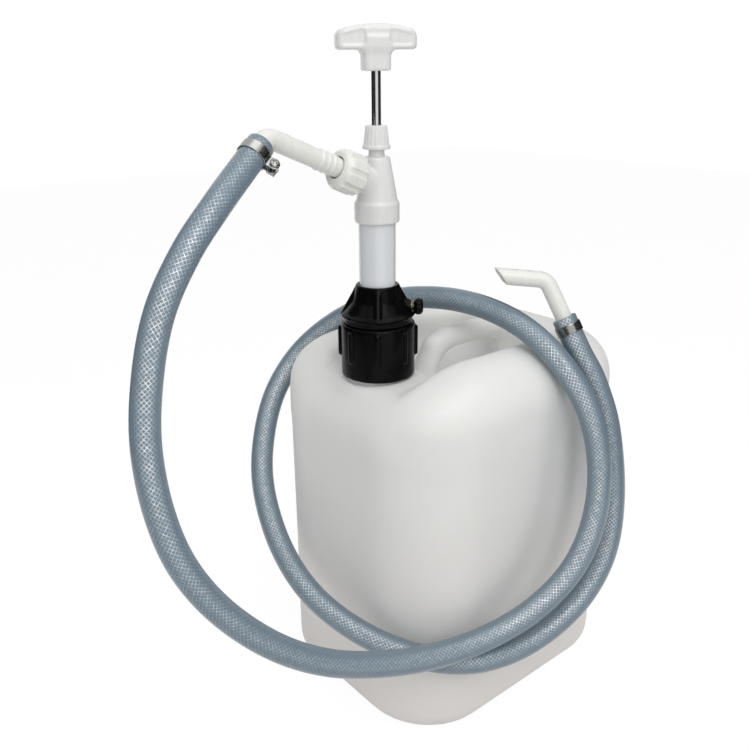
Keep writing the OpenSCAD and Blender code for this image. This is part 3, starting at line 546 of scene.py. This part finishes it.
screw_ring = skin("screw_ring_moulding", screw_ring_form, (-38, -38, 331), (38, 38, 384), step=0.95,
                  soften=1, place=on_pump)
screw_ring.data.materials.append(black_plastic)
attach(screw_ring, "ring")
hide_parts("screw_ring")

# Adapter cone: black polypropylene, a collar round the pump tube with four gussets and a boss for the clamp
# screw, all in one moulding. Its flange sits on the gasket under the ring's lip.
cone_z = (388, 389.8, 391, 402, 414, 418)
cone_r = (33.5, 33.5, 30.5, 22.2, 19.5, 19.2)
cone_foot_z = 388
cone_top_z = 416
cone_lean = 0.85
skirt_r = 31
skirt_foot_z = 381.8
skirt_top_z = 389.2
gussets = 4
gusset_half_w = 2.5
gusset_r = 33.3
gusset_r_z = 389
gusset_slope = 0.5565
gusset_lean = 0.874
gusset_foot_z = 388
gusset_top_z = 413
clamp_z = 394.7
boss_r = 6.5
boss_bore_r = 4.5
boss_root = 16
boss_bore_root = 20.5
boss_end = 30
flange_r = 28.8
flange_foot_z = 368
flange_top_z = 373.7
waist_r = 24
waist_foot_z = 372
waist_top_z = 384
guide_r = 16.05
guide_mouth_r = 21
guide_mouth_z = 382
guide_z = 387


def adapter_form(x, y, z):
    """A lean turns the level distance from a sloped face into the square one, here and in other forms."""
    r = np.hypot(x, y)
    cone = (r - np.interp(z, cone_z, cone_r)) * cone_lean
    cone = meet(cone, layer(z, cone_foot_z, cone_top_z), edge=1.2)
    skirt = meet(r - skirt_r, layer(z, skirt_foot_z, skirt_top_z), edge=0.6)
    out, off = ribs_about(x, y, gussets, clamp_heading)
    slope = (out - gusset_r + gusset_slope * (z - gusset_r_z)) * gusset_lean
    gusset = meet(np.abs(off) - gusset_half_w, slope, edge=1)
    gusset = meet(gusset, layer(z, gusset_foot_z, gusset_top_z), edge=1)
    reach = x * cos(clamp_heading) + y * sin(clamp_heading)
    aside = -x * sin(clamp_heading) + y * cos(clamp_heading)
    from_screw = np.hypot(aside, z - clamp_z)
    boss = np.maximum(meet(from_screw - boss_r, reach - boss_end, edge=0.8), boss_root - reach)
    body = join(join(cone, gusset, fillet=1.5), boss, fillet=1.5)
    body = join(body, skirt, fillet=0.5)
    flange = meet(r - flange_r, layer(z, flange_foot_z, flange_top_z), edge=0.5)
    waist = np.maximum(r - waist_r, layer(z, waist_foot_z, waist_top_z))
    body = np.minimum(body, np.minimum(flange, waist))
    guide = r - np.interp(z, (guide_mouth_z, guide_z), (guide_mouth_r, guide_r))
    screw_hole = np.maximum(from_screw - boss_bore_r, boss_bore_root - reach)
    return np.maximum(body, -np.minimum(guide, screw_hole))


adapter = skin("adapter_moulding", adapter_form, (-36, -36, 366), (36, 36, 418), step=0.95, soften=1,
               place=on_pump)
adapter.data.materials.append(black_plastic)
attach(adapter, "adapter")
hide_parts("adapter_cone")

# Clamp screw: a steel stud in a brass bush, turned by a small black thumb knob with ten scallops.
# It pinches the pump tube at the height wanted.
knob_r = 7.5
knob_foot = 32
knob_end = 40.5
knob_scallops = 10
scallop_r = 1.2
scallop_out = 8.1
stud_hole_r = 3.05
stud_hole_end = 38.8
mark_depth = 0.0001
outward = Vector((cos(clamp_heading), sin(clamp_heading), 0))


def turned_metal_group():
    """Fine turning marks in shine and height, and a faint stain in the colour."""
    made, given, spot = finish_group("turned_metal", {
        "Bright": "NodeSocketColor", "Dark": "NodeSocketColor", "Marks": "NodeSocketVector",
        "Shiny": "NodeSocketFloat", "Dull": "NodeSocketFloat",
    })
    stretch = add(made, "ShaderNodeVectorMath", {0: spot, 1: given["Marks"]}, operation="MULTIPLY")
    marks = noise(made, stretch.outputs[0], 1.0, 4.0)
    stain = noise(made, spot, 90.0, 3.0)
    feed(made, made.nodes.new("NodeGroupOutput"), {
        "Color": blend(made, stain, given["Bright"], given["Dark"]),
        "Roughness": ranged(made, marks, (0.3, 0.7), (given["Shiny"], given["Dull"])),
        "Height": marks,
    })
    return made


turned_metal = turned_metal_group()


def metal(name, bright, dark, marks, shiny, dull, bump):
    """A metal finish with turning or drawing marks, scaled along X, Y and Z."""
    values = {"Bright": (*bright, 1), "Dark": (*dark, 1), "Marks": marks, "Shiny": shiny, "Dull": dull}
    return finish_from(name, turned_metal, values, bump, mark_depth, {"Metallic": 1.0})


turned_steel = metal("turned_steel", bright=(0.56, 0.56, 0.55), dark=(0.42, 0.42, 0.42),
                     marks=(900, 900, 900), shiny=0.22, dull=0.38, bump=0.05)
turned_brass = metal("turned_brass", bright=(0.32, 0.22, 0.09), dark=(0.22, 0.15, 0.06),
                     marks=(300, 300, 2400), shiny=0.25, dull=0.42, bump=0.05)
blackened_steel = metal("blackened_steel", bright=(0.10, 0.10, 0.10), dark=(0.06, 0.06, 0.06),
                        marks=(900, 900, 900), shiny=0.3, dull=0.5, bump=0.05)
dress("clamp_insert", turned_brass)
dress("clamp_stud", blackened_steel)


def facing(place, along, aside):
    """A frame in mm with Z along a direction and X nearest to another."""
    z = Vector(along).normalized()
    x = (Vector(aside) - z * z.dot(Vector(aside))).normalized()
    return Matrix.Translation(place) @ Matrix((x, z.cross(x), z)).transposed().to_4x4()


def thumb_knob_form(x, y, z):
    r = np.hypot(x, y)
    body = meet(r - knob_r, layer(z, knob_foot, knob_end), edge=3.9)
    out, off = ribs_about(x, y, knob_scallops, 0)
    body = meet(body, scallop_r - np.hypot(out - scallop_out, off), edge=0.6)
    return np.maximum(body, -np.maximum(r - stud_hole_r, z - stud_hole_end))


on_clamp = facing((neck_x, 0, clamp_z), outward, up)
thumb_knob = skin("thumb_knob", thumb_knob_form, (-9, -9, 31), (9, 9, 42), step=0.45, soften=1,
                  place=on_clamp)
thumb_knob.data.materials.append(black_plastic)
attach(thumb_knob, "clamp_knob")
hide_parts("clamp_knob")

# Pump tube: drawn polypropylene, glossy and faintly grey, with the foot valve and strainer on its lower end.
# Tube, seat, cage and strainer keep their CAD shapes; the tube's die leaves fine lines along it.
tube_plastic = moulded("drawn_tube_plastic", pale=(0.77, 0.79, 0.81), shade=(0.73, 0.75, 0.78), cloud=12.0,
                       grain=700.0, shiny=0.14, dull=0.26, bump=0.04,
                       extra={"Subsurface Weight": 0.15, "Subsurface Radius": (0.004, 0.004, 0.004),
                              "Coat Weight": 0.3, "Coat Roughness": 0.06})
white_plastic = moulded("white_polypropylene", pale=(0.80, 0.80, 0.79), shade=(0.75, 0.75, 0.74), cloud=30.0,
                        grain=1100.0, shiny=0.20, dull=0.36, bump=0.06,
                        extra={"Subsurface Weight": 0.12, "Subsurface Radius": (0.003, 0.003, 0.003)})
dress("pump_tube", tube_plastic)
for part in ("foot_seat", "foot_cage", "inlet_strainer"):
    dress(part, white_plastic)
dress("foot_ball", turned_steel)

# Pump head: white polypropylene, a collar over the tube, a cone above it and a spigot for the outlet union.
# The tube is pushed into its socket against an O-ring.
collar_r = 19.35
collar_foot_z = 470
collar_top_z = 488
head_cone_z = (486, 525)
head_cone_r = (18.2, 11.2)
head_cone_lean = 0.98
stem_r = 6.7
stem_foot_z = 510
stem_top_z = 544
socket_r = 16.05
socket_top_z = 484.3
throat_z = (502, 509)
throat_r = (13, 4.2)
spigot_r = 10.7
spigot_bore_r = 6
spigot_end = 34
outlet_z = 501.5
outlet_rise = radians(23)
outlet_root = Vector((pump_x, 0, outlet_z / 1000))
outlet_along = Vector((-cos(outlet_rise), 0, sin(outlet_rise)))


def pump_head_form(x, y, z):
    r = np.hypot(x, y)
    collar = meet(r - collar_r, layer(z, collar_foot_z, collar_top_z), edge=1.8)
    cone = (r - np.interp(z, head_cone_z, head_cone_r)) * head_cone_lean
    cone = np.maximum(meet(cone, z - head_cone_z[1], edge=1.5), head_cone_z[0] - z)
    stem = np.maximum(meet(r - stem_r, z - stem_top_z, edge=0.5), stem_foot_z - z)
    s = x * outlet_along.x + (z - outlet_z) * outlet_along.z
    off = np.sqrt(np.maximum(x * x + y * y + (z - outlet_z) ** 2 - s * s, 0))
    spigot = np.maximum(meet(off - spigot_r, s - spigot_end, edge=0.6), -s)
    body = join(join(collar, cone, fillet=0.8), spigot, fillet=3)
    body = join(body, stem, fillet=1)
    socket = np.maximum(r - socket_r, z - socket_top_z)
    throat = r - np.interp(z, throat_z, throat_r)
    outlet = np.maximum(off - spigot_bore_r, -s)
    return np.maximum(body, -np.minimum(np.minimum(socket, throat), outlet))


pump_head = skin("pump_head_moulding", pump_head_form, (-39, -22, 468), (22, 22, 546), step=0.8, soften=1,
                 place=on_pump)
pump_head.data.materials.append(white_plastic)
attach(pump_head, "pump")
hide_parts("pump_head")

# Gland nut: white polypropylene, a plain rim below a tapered body with fine upright flutes.
# It is screwed on the head's stem and squeezes a packing ring round the rod.
rim_r = 11.75
rim_foot_z = 531
rim_top_z = 534
gland_foot_z = 533
gland_top_z = 550
gland_taper_z = (534, 549)
gland_taper_r = (10.9, 9.0)
gland_flutes = 18
flute_r = 0.75
flute_out = 0.4
gland_thread_r = 7.1
gland_thread_top_z = 546.3
rod_hole_r = 4.2


def gland_nut_form(x, y, z):
    r = np.hypot(x, y)
    rim = meet(r - rim_r, layer(z, rim_foot_z, rim_top_z), edge=0.7)
    out, off = ribs_about(x, y, gland_flutes, 0)
    taper = np.interp(z, gland_taper_z, gland_taper_r)
    body = meet(out - taper, flute_r - np.hypot(out - taper - flute_out, off), edge=0.25)
    body = meet(np.maximum(body, gland_foot_z - z), z - gland_top_z, edge=1.2)
    bore = np.minimum(np.maximum(r - gland_thread_r, z - gland_thread_top_z), r - rod_hole_r)
    return np.maximum(join(rim, body, fillet=0.4), -bore)


gland_nut = skin("gland_nut_moulding", gland_nut_form, (-13, -13, 530), (13, 13, 552), step=0.42,
                 place=on_pump)
gland_nut.data.materials.append(white_plastic)
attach(gland_nut, "gland_nut")
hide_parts("gland_nut")
packing = moulded("packing_ring", pale=(0.74, 0.73, 0.69), shade=(0.66, 0.65, 0.61), cloud=400.0,
                  grain=2600.0, shiny=0.5, dull=0.7, bump=0.2)
dress("gland_packing", packing)

# Piston and rod: a polished steel rod, locked with a nut in the capped white piston that holds a ball valve.
# The rod is drawn and ground, so its marks run along it.
polished_rod = metal("polished_rod", bright=(0.70, 0.70, 0.70), dark=(0.62, 0.62, 0.62),
                     marks=(1500, 1500, 12), shiny=0.10, dull=0.2, bump=0.02)
dress("piston_rod", polished_rod)
for part in ("piston_body", "piston_cap"):
    dress(part, white_plastic)
for part in ("piston_ball", "rod_nut"):
    dress(part, turned_steel)

# T-handle: white polypropylene moulded over a brass bush, its bar arched on top, with a shallow panel in each
# side, and filleted into a square boss. The rod is screwed into the bush.
grip_turn = radians(-27)
bar_half_l = 33
bar_half_w = 10
bar_foot_z = 608
bar_top_z = 627.5
bar_arc = 101.75
grip_boss_half_l = 11.5
grip_boss_half_w = 9.5
grip_boss_foot_z = 592
grip_boss_top_z = 616
panel_start = 10
panel_end = 31
panel_foot_z = 611.5
panel_rim = 4
panel_half_w = 8.8
bush_hole_r = 6
bush_hole_top_z = 606
on_grip = on_pump @ Matrix.Rotation(grip_turn, 4, "Z")


def t_handle_form(x, y, z):
    arch = np.hypot(x, z - bar_top_z + bar_arc) - bar_arc
    bar = meet(slab_plan(x, y, bar_half_l, bar_half_w, corner=7), arch, edge=4.5)
    bar = meet(bar, bar_foot_z - z, edge=3)
    boss = slab_plan(x, y, grip_boss_half_l, grip_boss_half_w, corner=5)
    boss = meet(np.maximum(boss, z - grip_boss_top_z), grip_boss_foot_z - z, edge=1.5)
    body = join(bar, boss, fillet=5)
    panel = np.maximum(arch + panel_rim, panel_foot_z - z)
    panel = meet(layer(np.abs(x), panel_start, panel_end), panel, edge=2.5)
    body = meet(body, -np.maximum(panel, panel_half_w - np.abs(y)), edge=0.5)
    return np.maximum(body, -np.maximum(np.hypot(x, y) - bush_hole_r, z - bush_hole_top_z))


t_handle = skin("t_handle_moulding", t_handle_form, (-35, -12, 590), (35, 12, 630), step=0.85, soften=1,
                place=on_grip)
t_handle.data.materials.append(white_plastic)
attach(t_handle, "rod")
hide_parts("t_handle")
dress("handle_insert", turned_brass)

# Union nut: ivory polypropylene with eight broad grip ribs and a sloped front shoulder.
# It draws the elbow's flange on to the spigot's gasket.
union_r = 15.7
union_back = 24
union_front = 46
union_ribs = 8
union_rib_r = 17
union_rib_half_w = 4.3
union_slope = 59.5
union_lean = 0.7071
union_thread_r = 11
union_thread_end = 39.9
union_lip_r = 9.2
outlet_below = Vector((-sin(outlet_rise), 0, -cos(outlet_rise)))
on_outlet = facing(outlet_root * 1000, outlet_along, -outlet_below)
ivory_plastic = moulded("ivory_polypropylene", pale=(0.86, 0.86, 0.82), shade=(0.81, 0.81, 0.76), cloud=35.0,
                        grain=1100.0, shiny=0.22, dull=0.38, bump=0.06,
                        extra={"Subsurface Weight": 0.15, "Subsurface Radius": (0.004, 0.004, 0.003)})


def union_nut_form(x, y, z):
    r = np.hypot(x, y)
    out, off = ribs_about(x, y, union_ribs, pi / union_ribs)
    rib = meet(np.abs(off) - union_rib_half_w, out - union_rib_r, edge=1.0)
    body = join(r - union_r, rib, fillet=0.6)
    body = meet(body, (r + z - union_slope) * union_lean, edge=1.5)
    body = meet(body, layer(z, union_back, union_front), edge=0.8)
    bore = np.minimum(np.maximum(r - union_thread_r, z - union_thread_end), r - union_lip_r)
    return np.maximum(body, -bore)


union_nut = skin("union_nut_moulding", union_nut_form, (-18, -18, 22), (18, 18, 48), step=0.6,
                 place=on_outlet)
union_nut.data.materials.append(ivory_plastic)
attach(union_nut, "outlet_nut")
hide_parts("outlet_nut")

# Outlet elbow: ivory polypropylene pipe with three raised rings, a flange in the union nut and a tight bend.
# Its barbed end is pushed into the hose.
pipe_r = 0.008
pipe_bend = radians(60)
bend_r = 0.012
bend_lead = bend_r * tan(pipe_bend / 2)
bend_points = 13
elbow_root = 0.036
elbow_run = 0.080
elbow_tail = 0.038
elbow_turn = radians(18)
elbow_flange_r = 0.0105
elbow_flange_end = 0.0396
ridges = (0.053, 0.059, 0.065)
ridge_half_w = 0.0013
ridge_rise = 0.0009
barb_r = 0.0079
barb_l = 0.030
barb_start = 0.0002
hose_setback = 0.002
bend_side = cos(elbow_turn) * outlet_below + sin(elbow_turn) * Vector((0, -1, 0))
elbow_along = cos(pipe_bend) * outlet_along + sin(pipe_bend) * bend_side
elbow_apex = outlet_root + (elbow_root + elbow_run) * outlet_along
hose_start = elbow_apex + (bend_lead + hose_setback) * elbow_along


def bent_line(start, along, run, turn_to, tail, step):
    """Middle line of a pipe: a run to its corner, with the bend there, and a tail in the new direction."""
    corner = start + run * along
    swing = (turn_to - along * along.dot(turn_to)).normalized()
    centre = corner - bend_lead * along + bend_r * swing
    before = run - bend_lead
    after = tail - bend_lead
    line = [start + along * before * k / round(before / step) for k in range(round(before / step))]
    for a in np.linspace(0, pipe_bend, bend_points):
        line.append(centre + bend_r * (sin(a) * along - cos(a) * swing))
    for k in range(1, round(after / step) + 1):
        line.append(corner + turn_to * (bend_lead + after * k / round(after / step)))
    return line


elbow_line = bent_line(outlet_root + elbow_root * outlet_along, outlet_along, elbow_run, elbow_along,
                       elbow_tail, step=0.0006)
elbow_radii = []
for spot in elbow_line:
    s = (spot - outlet_root).dot(outlet_along)
    swell = max(0.0, *(1 - ((s - ridge) / ridge_half_w) ** 2 for ridge in ridges))
    if s < elbow_flange_end:
        elbow_radii.append(elbow_flange_r)
    elif (spot - hose_start).dot(elbow_along) > barb_start:
        elbow_radii.append(barb_r)
    else:
        elbow_radii.append(pipe_r + ridge_rise * swell ** 0.5)
elbow = sweep("elbow_pipe", elbow_line, elbow_radii, sides=44)
elbow.data.materials.append(ivory_plastic)
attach(elbow, "pump")
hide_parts("outlet_elbow")

# Hose: clear blue-grey vinyl, 22 mm across and 2.1 m long, with a white thread braid laid in its wall.
# It is pushed over the elbow's barbs, hangs round the canister, crosses its handle and holds the spout.
hose_r = 0.011
hose_inner = 0.0081
hose_lip = 0.0006
hose_mouth = 0.00001
threads_round = 19.0
threads_per_m = 265.0
thread_depth = 0.0004
vinyl_dark = (0.135, 0.19, 0.24, 1)
vinyl_pale = (0.175, 0.235, 0.285, 1)
# Painted light and shade: the vinyl front colour and the grey, white and glint thread colours are shaded, lit
# and highlight copies, chosen by how squarely the wall faces the eye.
vinyl_painted_light = (0.215, 0.28, 0.33, 1)
thread_painted_shade = (0.24, 0.30, 0.35, 1)
thread_painted_light = (0.60, 0.66, 0.70, 1)
thread_painted_glint = (0.97, 0.98, 0.99, 1)
hose_end = Vector((0.045, -0.099, 0.379))
hose_route = [hose_start, hose_start + barb_l * elbow_along] + [Vector(p) for p in (
    (-0.258, -0.020, 0.504), (-0.288, -0.027, 0.476), (-0.315, -0.034, 0.440), (-0.332, -0.041, 0.398),
    (-0.342, -0.049, 0.352), (-0.342, -0.059, 0.303), (-0.332, -0.069, 0.258), (-0.309, -0.080, 0.215),
    (-0.274, -0.093, 0.175), (-0.232, -0.105, 0.145), (-0.184, -0.117, 0.126), (-0.134, -0.130, 0.117),
    (-0.084, -0.143, 0.119), (-0.038, -0.155, 0.134), (0.002, -0.163, 0.163), (0.026, -0.164, 0.205),
    (0.035, -0.158, 0.257), (0.030, -0.144, 0.308), (0.021, -0.116, 0.347), (0.016, -0.076, 0.371),
    (0.009, -0.028, 0.382), (-0.006, 0.020, 0.383), (-0.025, 0.068, 0.373), (-0.048, 0.112, 0.350),
    (-0.081, 0.139, 0.316), (-0.118, 0.138, 0.278), (-0.149, 0.117, 0.238), (-0.170, 0.087, 0.201),
    (-0.182, 0.042, 0.163), (-0.182, -0.008, 0.135), (-0.166, -0.060, 0.115), (-0.136, -0.106, 0.101),
    (-0.092, -0.136, 0.092), (-0.040, -0.153, 0.097), (0.012, -0.163, 0.121), (0.048, -0.164, 0.160),
    (0.065, -0.156, 0.213), (0.065, -0.144, 0.277), (0.057, -0.130, 0.322), (0.050, -0.115, 0.350),
)] + [hose_end]
spout_along = (hose_end - hose_route[-2]).normalized()


def smooth_route(points, steps):
    """Points of a Catmull-Rom curve through the route, with so many steps to each stretch."""
    padded = [2 * points[0] - points[1]] + points + [2 * points[-1] - points[-2]]
    made = []
    for a, b, c, d in zip(padded, padded[1:], padded[2:], padded[3:]):
        for k in range(steps):
            t = k / steps
            bend = (2 * a - 5 * b + 4 * c - d) * t * t + (3 * b - a - 3 * c + d) * t * t * t
            made.append(0.5 * (2 * b + (c - a) * t + bend))
    return made + [points[-1]]


def braided_vinyl():
    """Threads wound both ways in clear vinyl, with painted light: wall and threads painted paler where the
    wall faces the eye, darker at its edges, and a painted white glint line down the middle.
    """
    made, tree, shader = new_finish("braided_vinyl")
    place = add(tree, "ShaderNodeSeparateXYZ", {0: add(tree, "ShaderNodeUVMap").outputs[0]}).outputs
    wound = calc(tree, "MULTIPLY", place[0], threads_round)
    lays = []
    for lead in (1, -1):
        laid = calc(tree, "MULTIPLY_ADD", place[1], lead * threads_per_m, wound)
        wave = calc(tree, "PINGPONG", laid, 0.5)
        lays.append(ranged(tree, wave, (0.07, 0.15), (1.0, 0.0), smooth=True))
    spot = add(tree, "ShaderNodeTexCoord").outputs["Object"]
    haze = ranged(tree, noise(tree, spot, 320.0, 2.0), (0.35, 0.65), (0.25, 1.0))
    threads = calc(tree, "MULTIPLY", calc(tree, "MAXIMUM", *lays), haze)
    # Painted highlight and edge shade: masks from how squarely the wall faces the eye pick the lit, shaded
    # and glint colours.
    edge_on = add(tree, "ShaderNodeLayerWeight", {"Blend": 0.5}).outputs["Facing"]
    painted_light_share = ranged(tree, edge_on, (0.0, 0.34), (1.0, 0.0), smooth=True)
    painted_glint_share = ranged(tree, edge_on, (0.0, 0.13), (1.0, 0.0), smooth=True)
    wall = blend(tree, noise(tree, spot, 60.0, 3.0), vinyl_dark, vinyl_pale)
    vinyl = blend(tree, painted_light_share, wall, vinyl_painted_light)
    thread = blend(tree, painted_glint_share, blend(tree, painted_light_share, thread_painted_shade, thread_painted_light), thread_painted_glint)
    relief = add(tree, "ShaderNodeBump", {"Height": threads, "Strength": 0.25, "Distance": thread_depth})
    feed(tree, shader, {
        "Base Color": blend(tree, threads, vinyl, thread),
        "Roughness": ranged(tree, threads, (0.0, 1.0), (0.30, 0.24)),
        "Specular IOR Level": ranged(tree, threads, (0.0, 1.0), (0.15, 1.0)),
        "Normal": relief.outputs[0],
        "Coat Weight": 0.35,
        "Coat Roughness": 0.08,
        "Coat IOR": 1.5,
    })
    return made


hose_line = smooth_route(hose_route, steps=8)
lead_in = [hose_start - hose_mouth * elbow_along, hose_start, hose_start + hose_lip * elbow_along]
lead_out = [hose_end - hose_lip * spout_along, hose_end, hose_end + hose_mouth * spout_along]
lip_radii = [hose_inner, hose_r - hose_lip, hose_r]
hose = sweep("braided_hose", lead_in + hose_line[1:-1] + lead_out,
             lip_radii + [hose_r] * (len(hose_line) - 2) + lip_radii[::-1], sides=32)
hose.data.materials.append(braided_vinyl())
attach(hose, "pump")
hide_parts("hose")

# Hose clamps: a plated steel band bent out into two ears, drawn together by a cross-head screw and a square
# nut. One holds the hose on the elbow, the other on the spout.
clamp_inset = 0.011
elbow_clamp_turn = 52
spout_clamp_turn = 308
band_r = 11.6
band_half_t = 0.42
band_half_w = 4.5
band_gap = 2.9
ear_start = 11
ear_mid = 17
ear_end = 21.2
ear_inner = 2.6
ear_outer = 3.6
ear_hole_r = 2.1
screw_r = 2.0
screw_tip = -8.8
screw_neck = 4
thread_pitch = 0.8
thread_rise = 0.16
head_dome_r = 6.0
head_dome_y = 0.6
head_dome_flat = 1.05
head_foot = 3.75
head_top = 6.25
head_r = 3.75
cross_half_l = 2.1
cross_half_w = 0.5
cross_floor = 5.2
nut_half_w = 3.5
nut_half_h = 1.58
nut_y = -5.3
nut_hole_r = 2.0
plated_steel = metal("plated_steel", bright=(0.40, 0.40, 0.385), dark=(0.26, 0.26, 0.25),
                     marks=(500, 500, 900), shiny=0.18, dull=0.34, bump=0.04)


def band_form(x, y, z):
    slit = np.where(x > 0, band_gap - np.abs(y), -band_r)
    strip = np.maximum(np.abs(np.hypot(x, y) - band_r) - band_half_t, slit)
    ear = np.maximum(layer(np.abs(y), ear_inner, ear_outer), np.maximum(x - ear_end, ear_start - x))
    ear = np.maximum(ear, np.hypot(np.maximum(x - ear_mid, 0), z) - band_half_w)
    body = np.maximum(join(strip, ear, fillet=0.8), np.abs(z) - band_half_w)
    return np.maximum(body, ear_hole_r - np.hypot(x - ear_mid, z))


def clamp_screw_form(x, y, z):
    r = np.hypot(x - ear_mid, z)
    turn = np.arctan2(z, x - ear_mid) / (2 * pi)
    thread = thread_rise * np.abs((y / thread_pitch - turn) % 1 * 2 - 1)
    shank = np.maximum(r - screw_r + thread, np.maximum(y - screw_neck, screw_tip - y))
    dome = np.hypot(r, (y - head_dome_y) * head_dome_flat) - head_dome_r
    head = np.maximum(np.maximum(dome, y - head_top), np.maximum(head_foot - y, r - head_r))
    cross = np.minimum(np.maximum(np.abs(x - ear_mid) - cross_half_l, np.abs(z) - cross_half_w),
                       np.maximum(np.abs(z) - cross_half_l, np.abs(x - ear_mid) - cross_half_w))
    return np.maximum(np.minimum(shank, head), -np.maximum(cross, cross_floor - y))


def lock_nut_form(x, y, z):
    block = meet(np.abs(x - ear_mid) - nut_half_w, np.abs(z) - nut_half_w, edge=0.4)
    block = meet(block, np.abs(y - nut_y) - nut_half_h, edge=0.3)
    return np.maximum(block, nut_hole_r - np.hypot(x - ear_mid, z))


def hose_clamp(label, replaced, place):
    """Band, screw and nut of one clamp, in place of the CAD nodes named."""
    made = [
        skin(label + "_band", band_form, (-13, -13, -5.5), (22.5, 13, 5.5), step=0.45, place=place),
        skin(label + "_screw", clamp_screw_form, (ear_mid - 4.6, -10, -4.6), (ear_mid + 4.6, 7.2, 4.6),
             step=0.3, place=place),
        skin(label + "_square_nut", lock_nut_form, (ear_mid - 4.3, -7.6, -4.3), (ear_mid + 4.3, -3, 4.3),
             step=0.36, place=place),
    ]
    for piece, node in zip(made, replaced):
        piece.data.materials.append(plated_steel)
        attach(piece, "pump")
        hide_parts(node)
    return made


def turned_about(along, turn):
    """Direction at right angles to along, turned about it as the CAD counts its turns."""
    flat = Vector((along.x, along.y, 0)).normalized()
    side = Vector((-flat.y, flat.x, 0))
    return side.cross(along) * cos(radians(turn)) + side * sin(radians(turn))


on_elbow_end = facing((hose_start + clamp_inset * elbow_along) * 1000, elbow_along,
                      turned_about(elbow_along, elbow_clamp_turn))
on_spout_end = facing((hose_end - clamp_inset * spout_along) * 1000, spout_along,
                      turned_about(spout_along, spout_clamp_turn))
hose_clamp("elbow_clamp", ("clamp_band", "clamp_screw", "clamp_lock_nut"), on_elbow_end)
spout_clamp = hose_clamp("spout_clamp", ("nozzle_band", "nozzle_screw", "nozzle_lock_nut"), on_spout_end)

# Spout: ivory polypropylene pipe, 15 mm across, bent as the elbow is and cut off on a slant at its mouth.
# Its barbed end is pushed into the hose and clamped.
spout_r = 0.0075
spout_bore = 0.0055
spout_run = 0.068
mouth_arm = 0.048
mouth_turn = 38
mouth_slant = tan(radians(40))
mouth_lip = 0.0004
bore_step = 0.003
bore_rings = 12
mouth_side = turned_about(spout_along, mouth_turn)
mouth_along = cos(pipe_bend) * spout_along + sin(pipe_bend) * mouth_side
spout_line = bent_line(hose_end - barb_l * spout_along, spout_along, spout_run, mouth_along, mouth_arm,
                       step=0.0012)
spout_radii = [barb_r if (p - hose_end).dot(spout_along) < -barb_start else spout_r for p in spout_line]
mouth = spout_line[-1]
bore_line = [mouth - bore_step * k * mouth_along for k in range(bore_rings)]
ways = list(np.gradient(np.array(spout_line), axis=0)) + [np.array(mouth_along)] * (bore_rings + 1)
spout = sweep("spout_pipe", spout_line + [mouth + mouth_lip * mouth_along] + bore_line,
              spout_radii + [(spout_r + spout_bore) / 2] + [spout_bore] * bore_rings,
              sides=40, tangents=ways)
spout_apex = hose_end + (spout_run - barb_l) * spout_along
inner_side = cos(pipe_bend) * mouth_side - sin(pipe_bend) * spout_along
for point in spout.data.vertices:
    reach = (point.co - spout_apex).dot(mouth_along)
    if reach > bend_lead:
        short = (spout_r + (point.co - spout_apex).dot(inner_side)) * mouth_slant
        point.co -= mouth_along * short * (reach - bend_lead) / (mouth_arm - bend_lead)
spout.data.materials.append(ivory_plastic)
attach(spout, "pump")
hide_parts("nozzle")
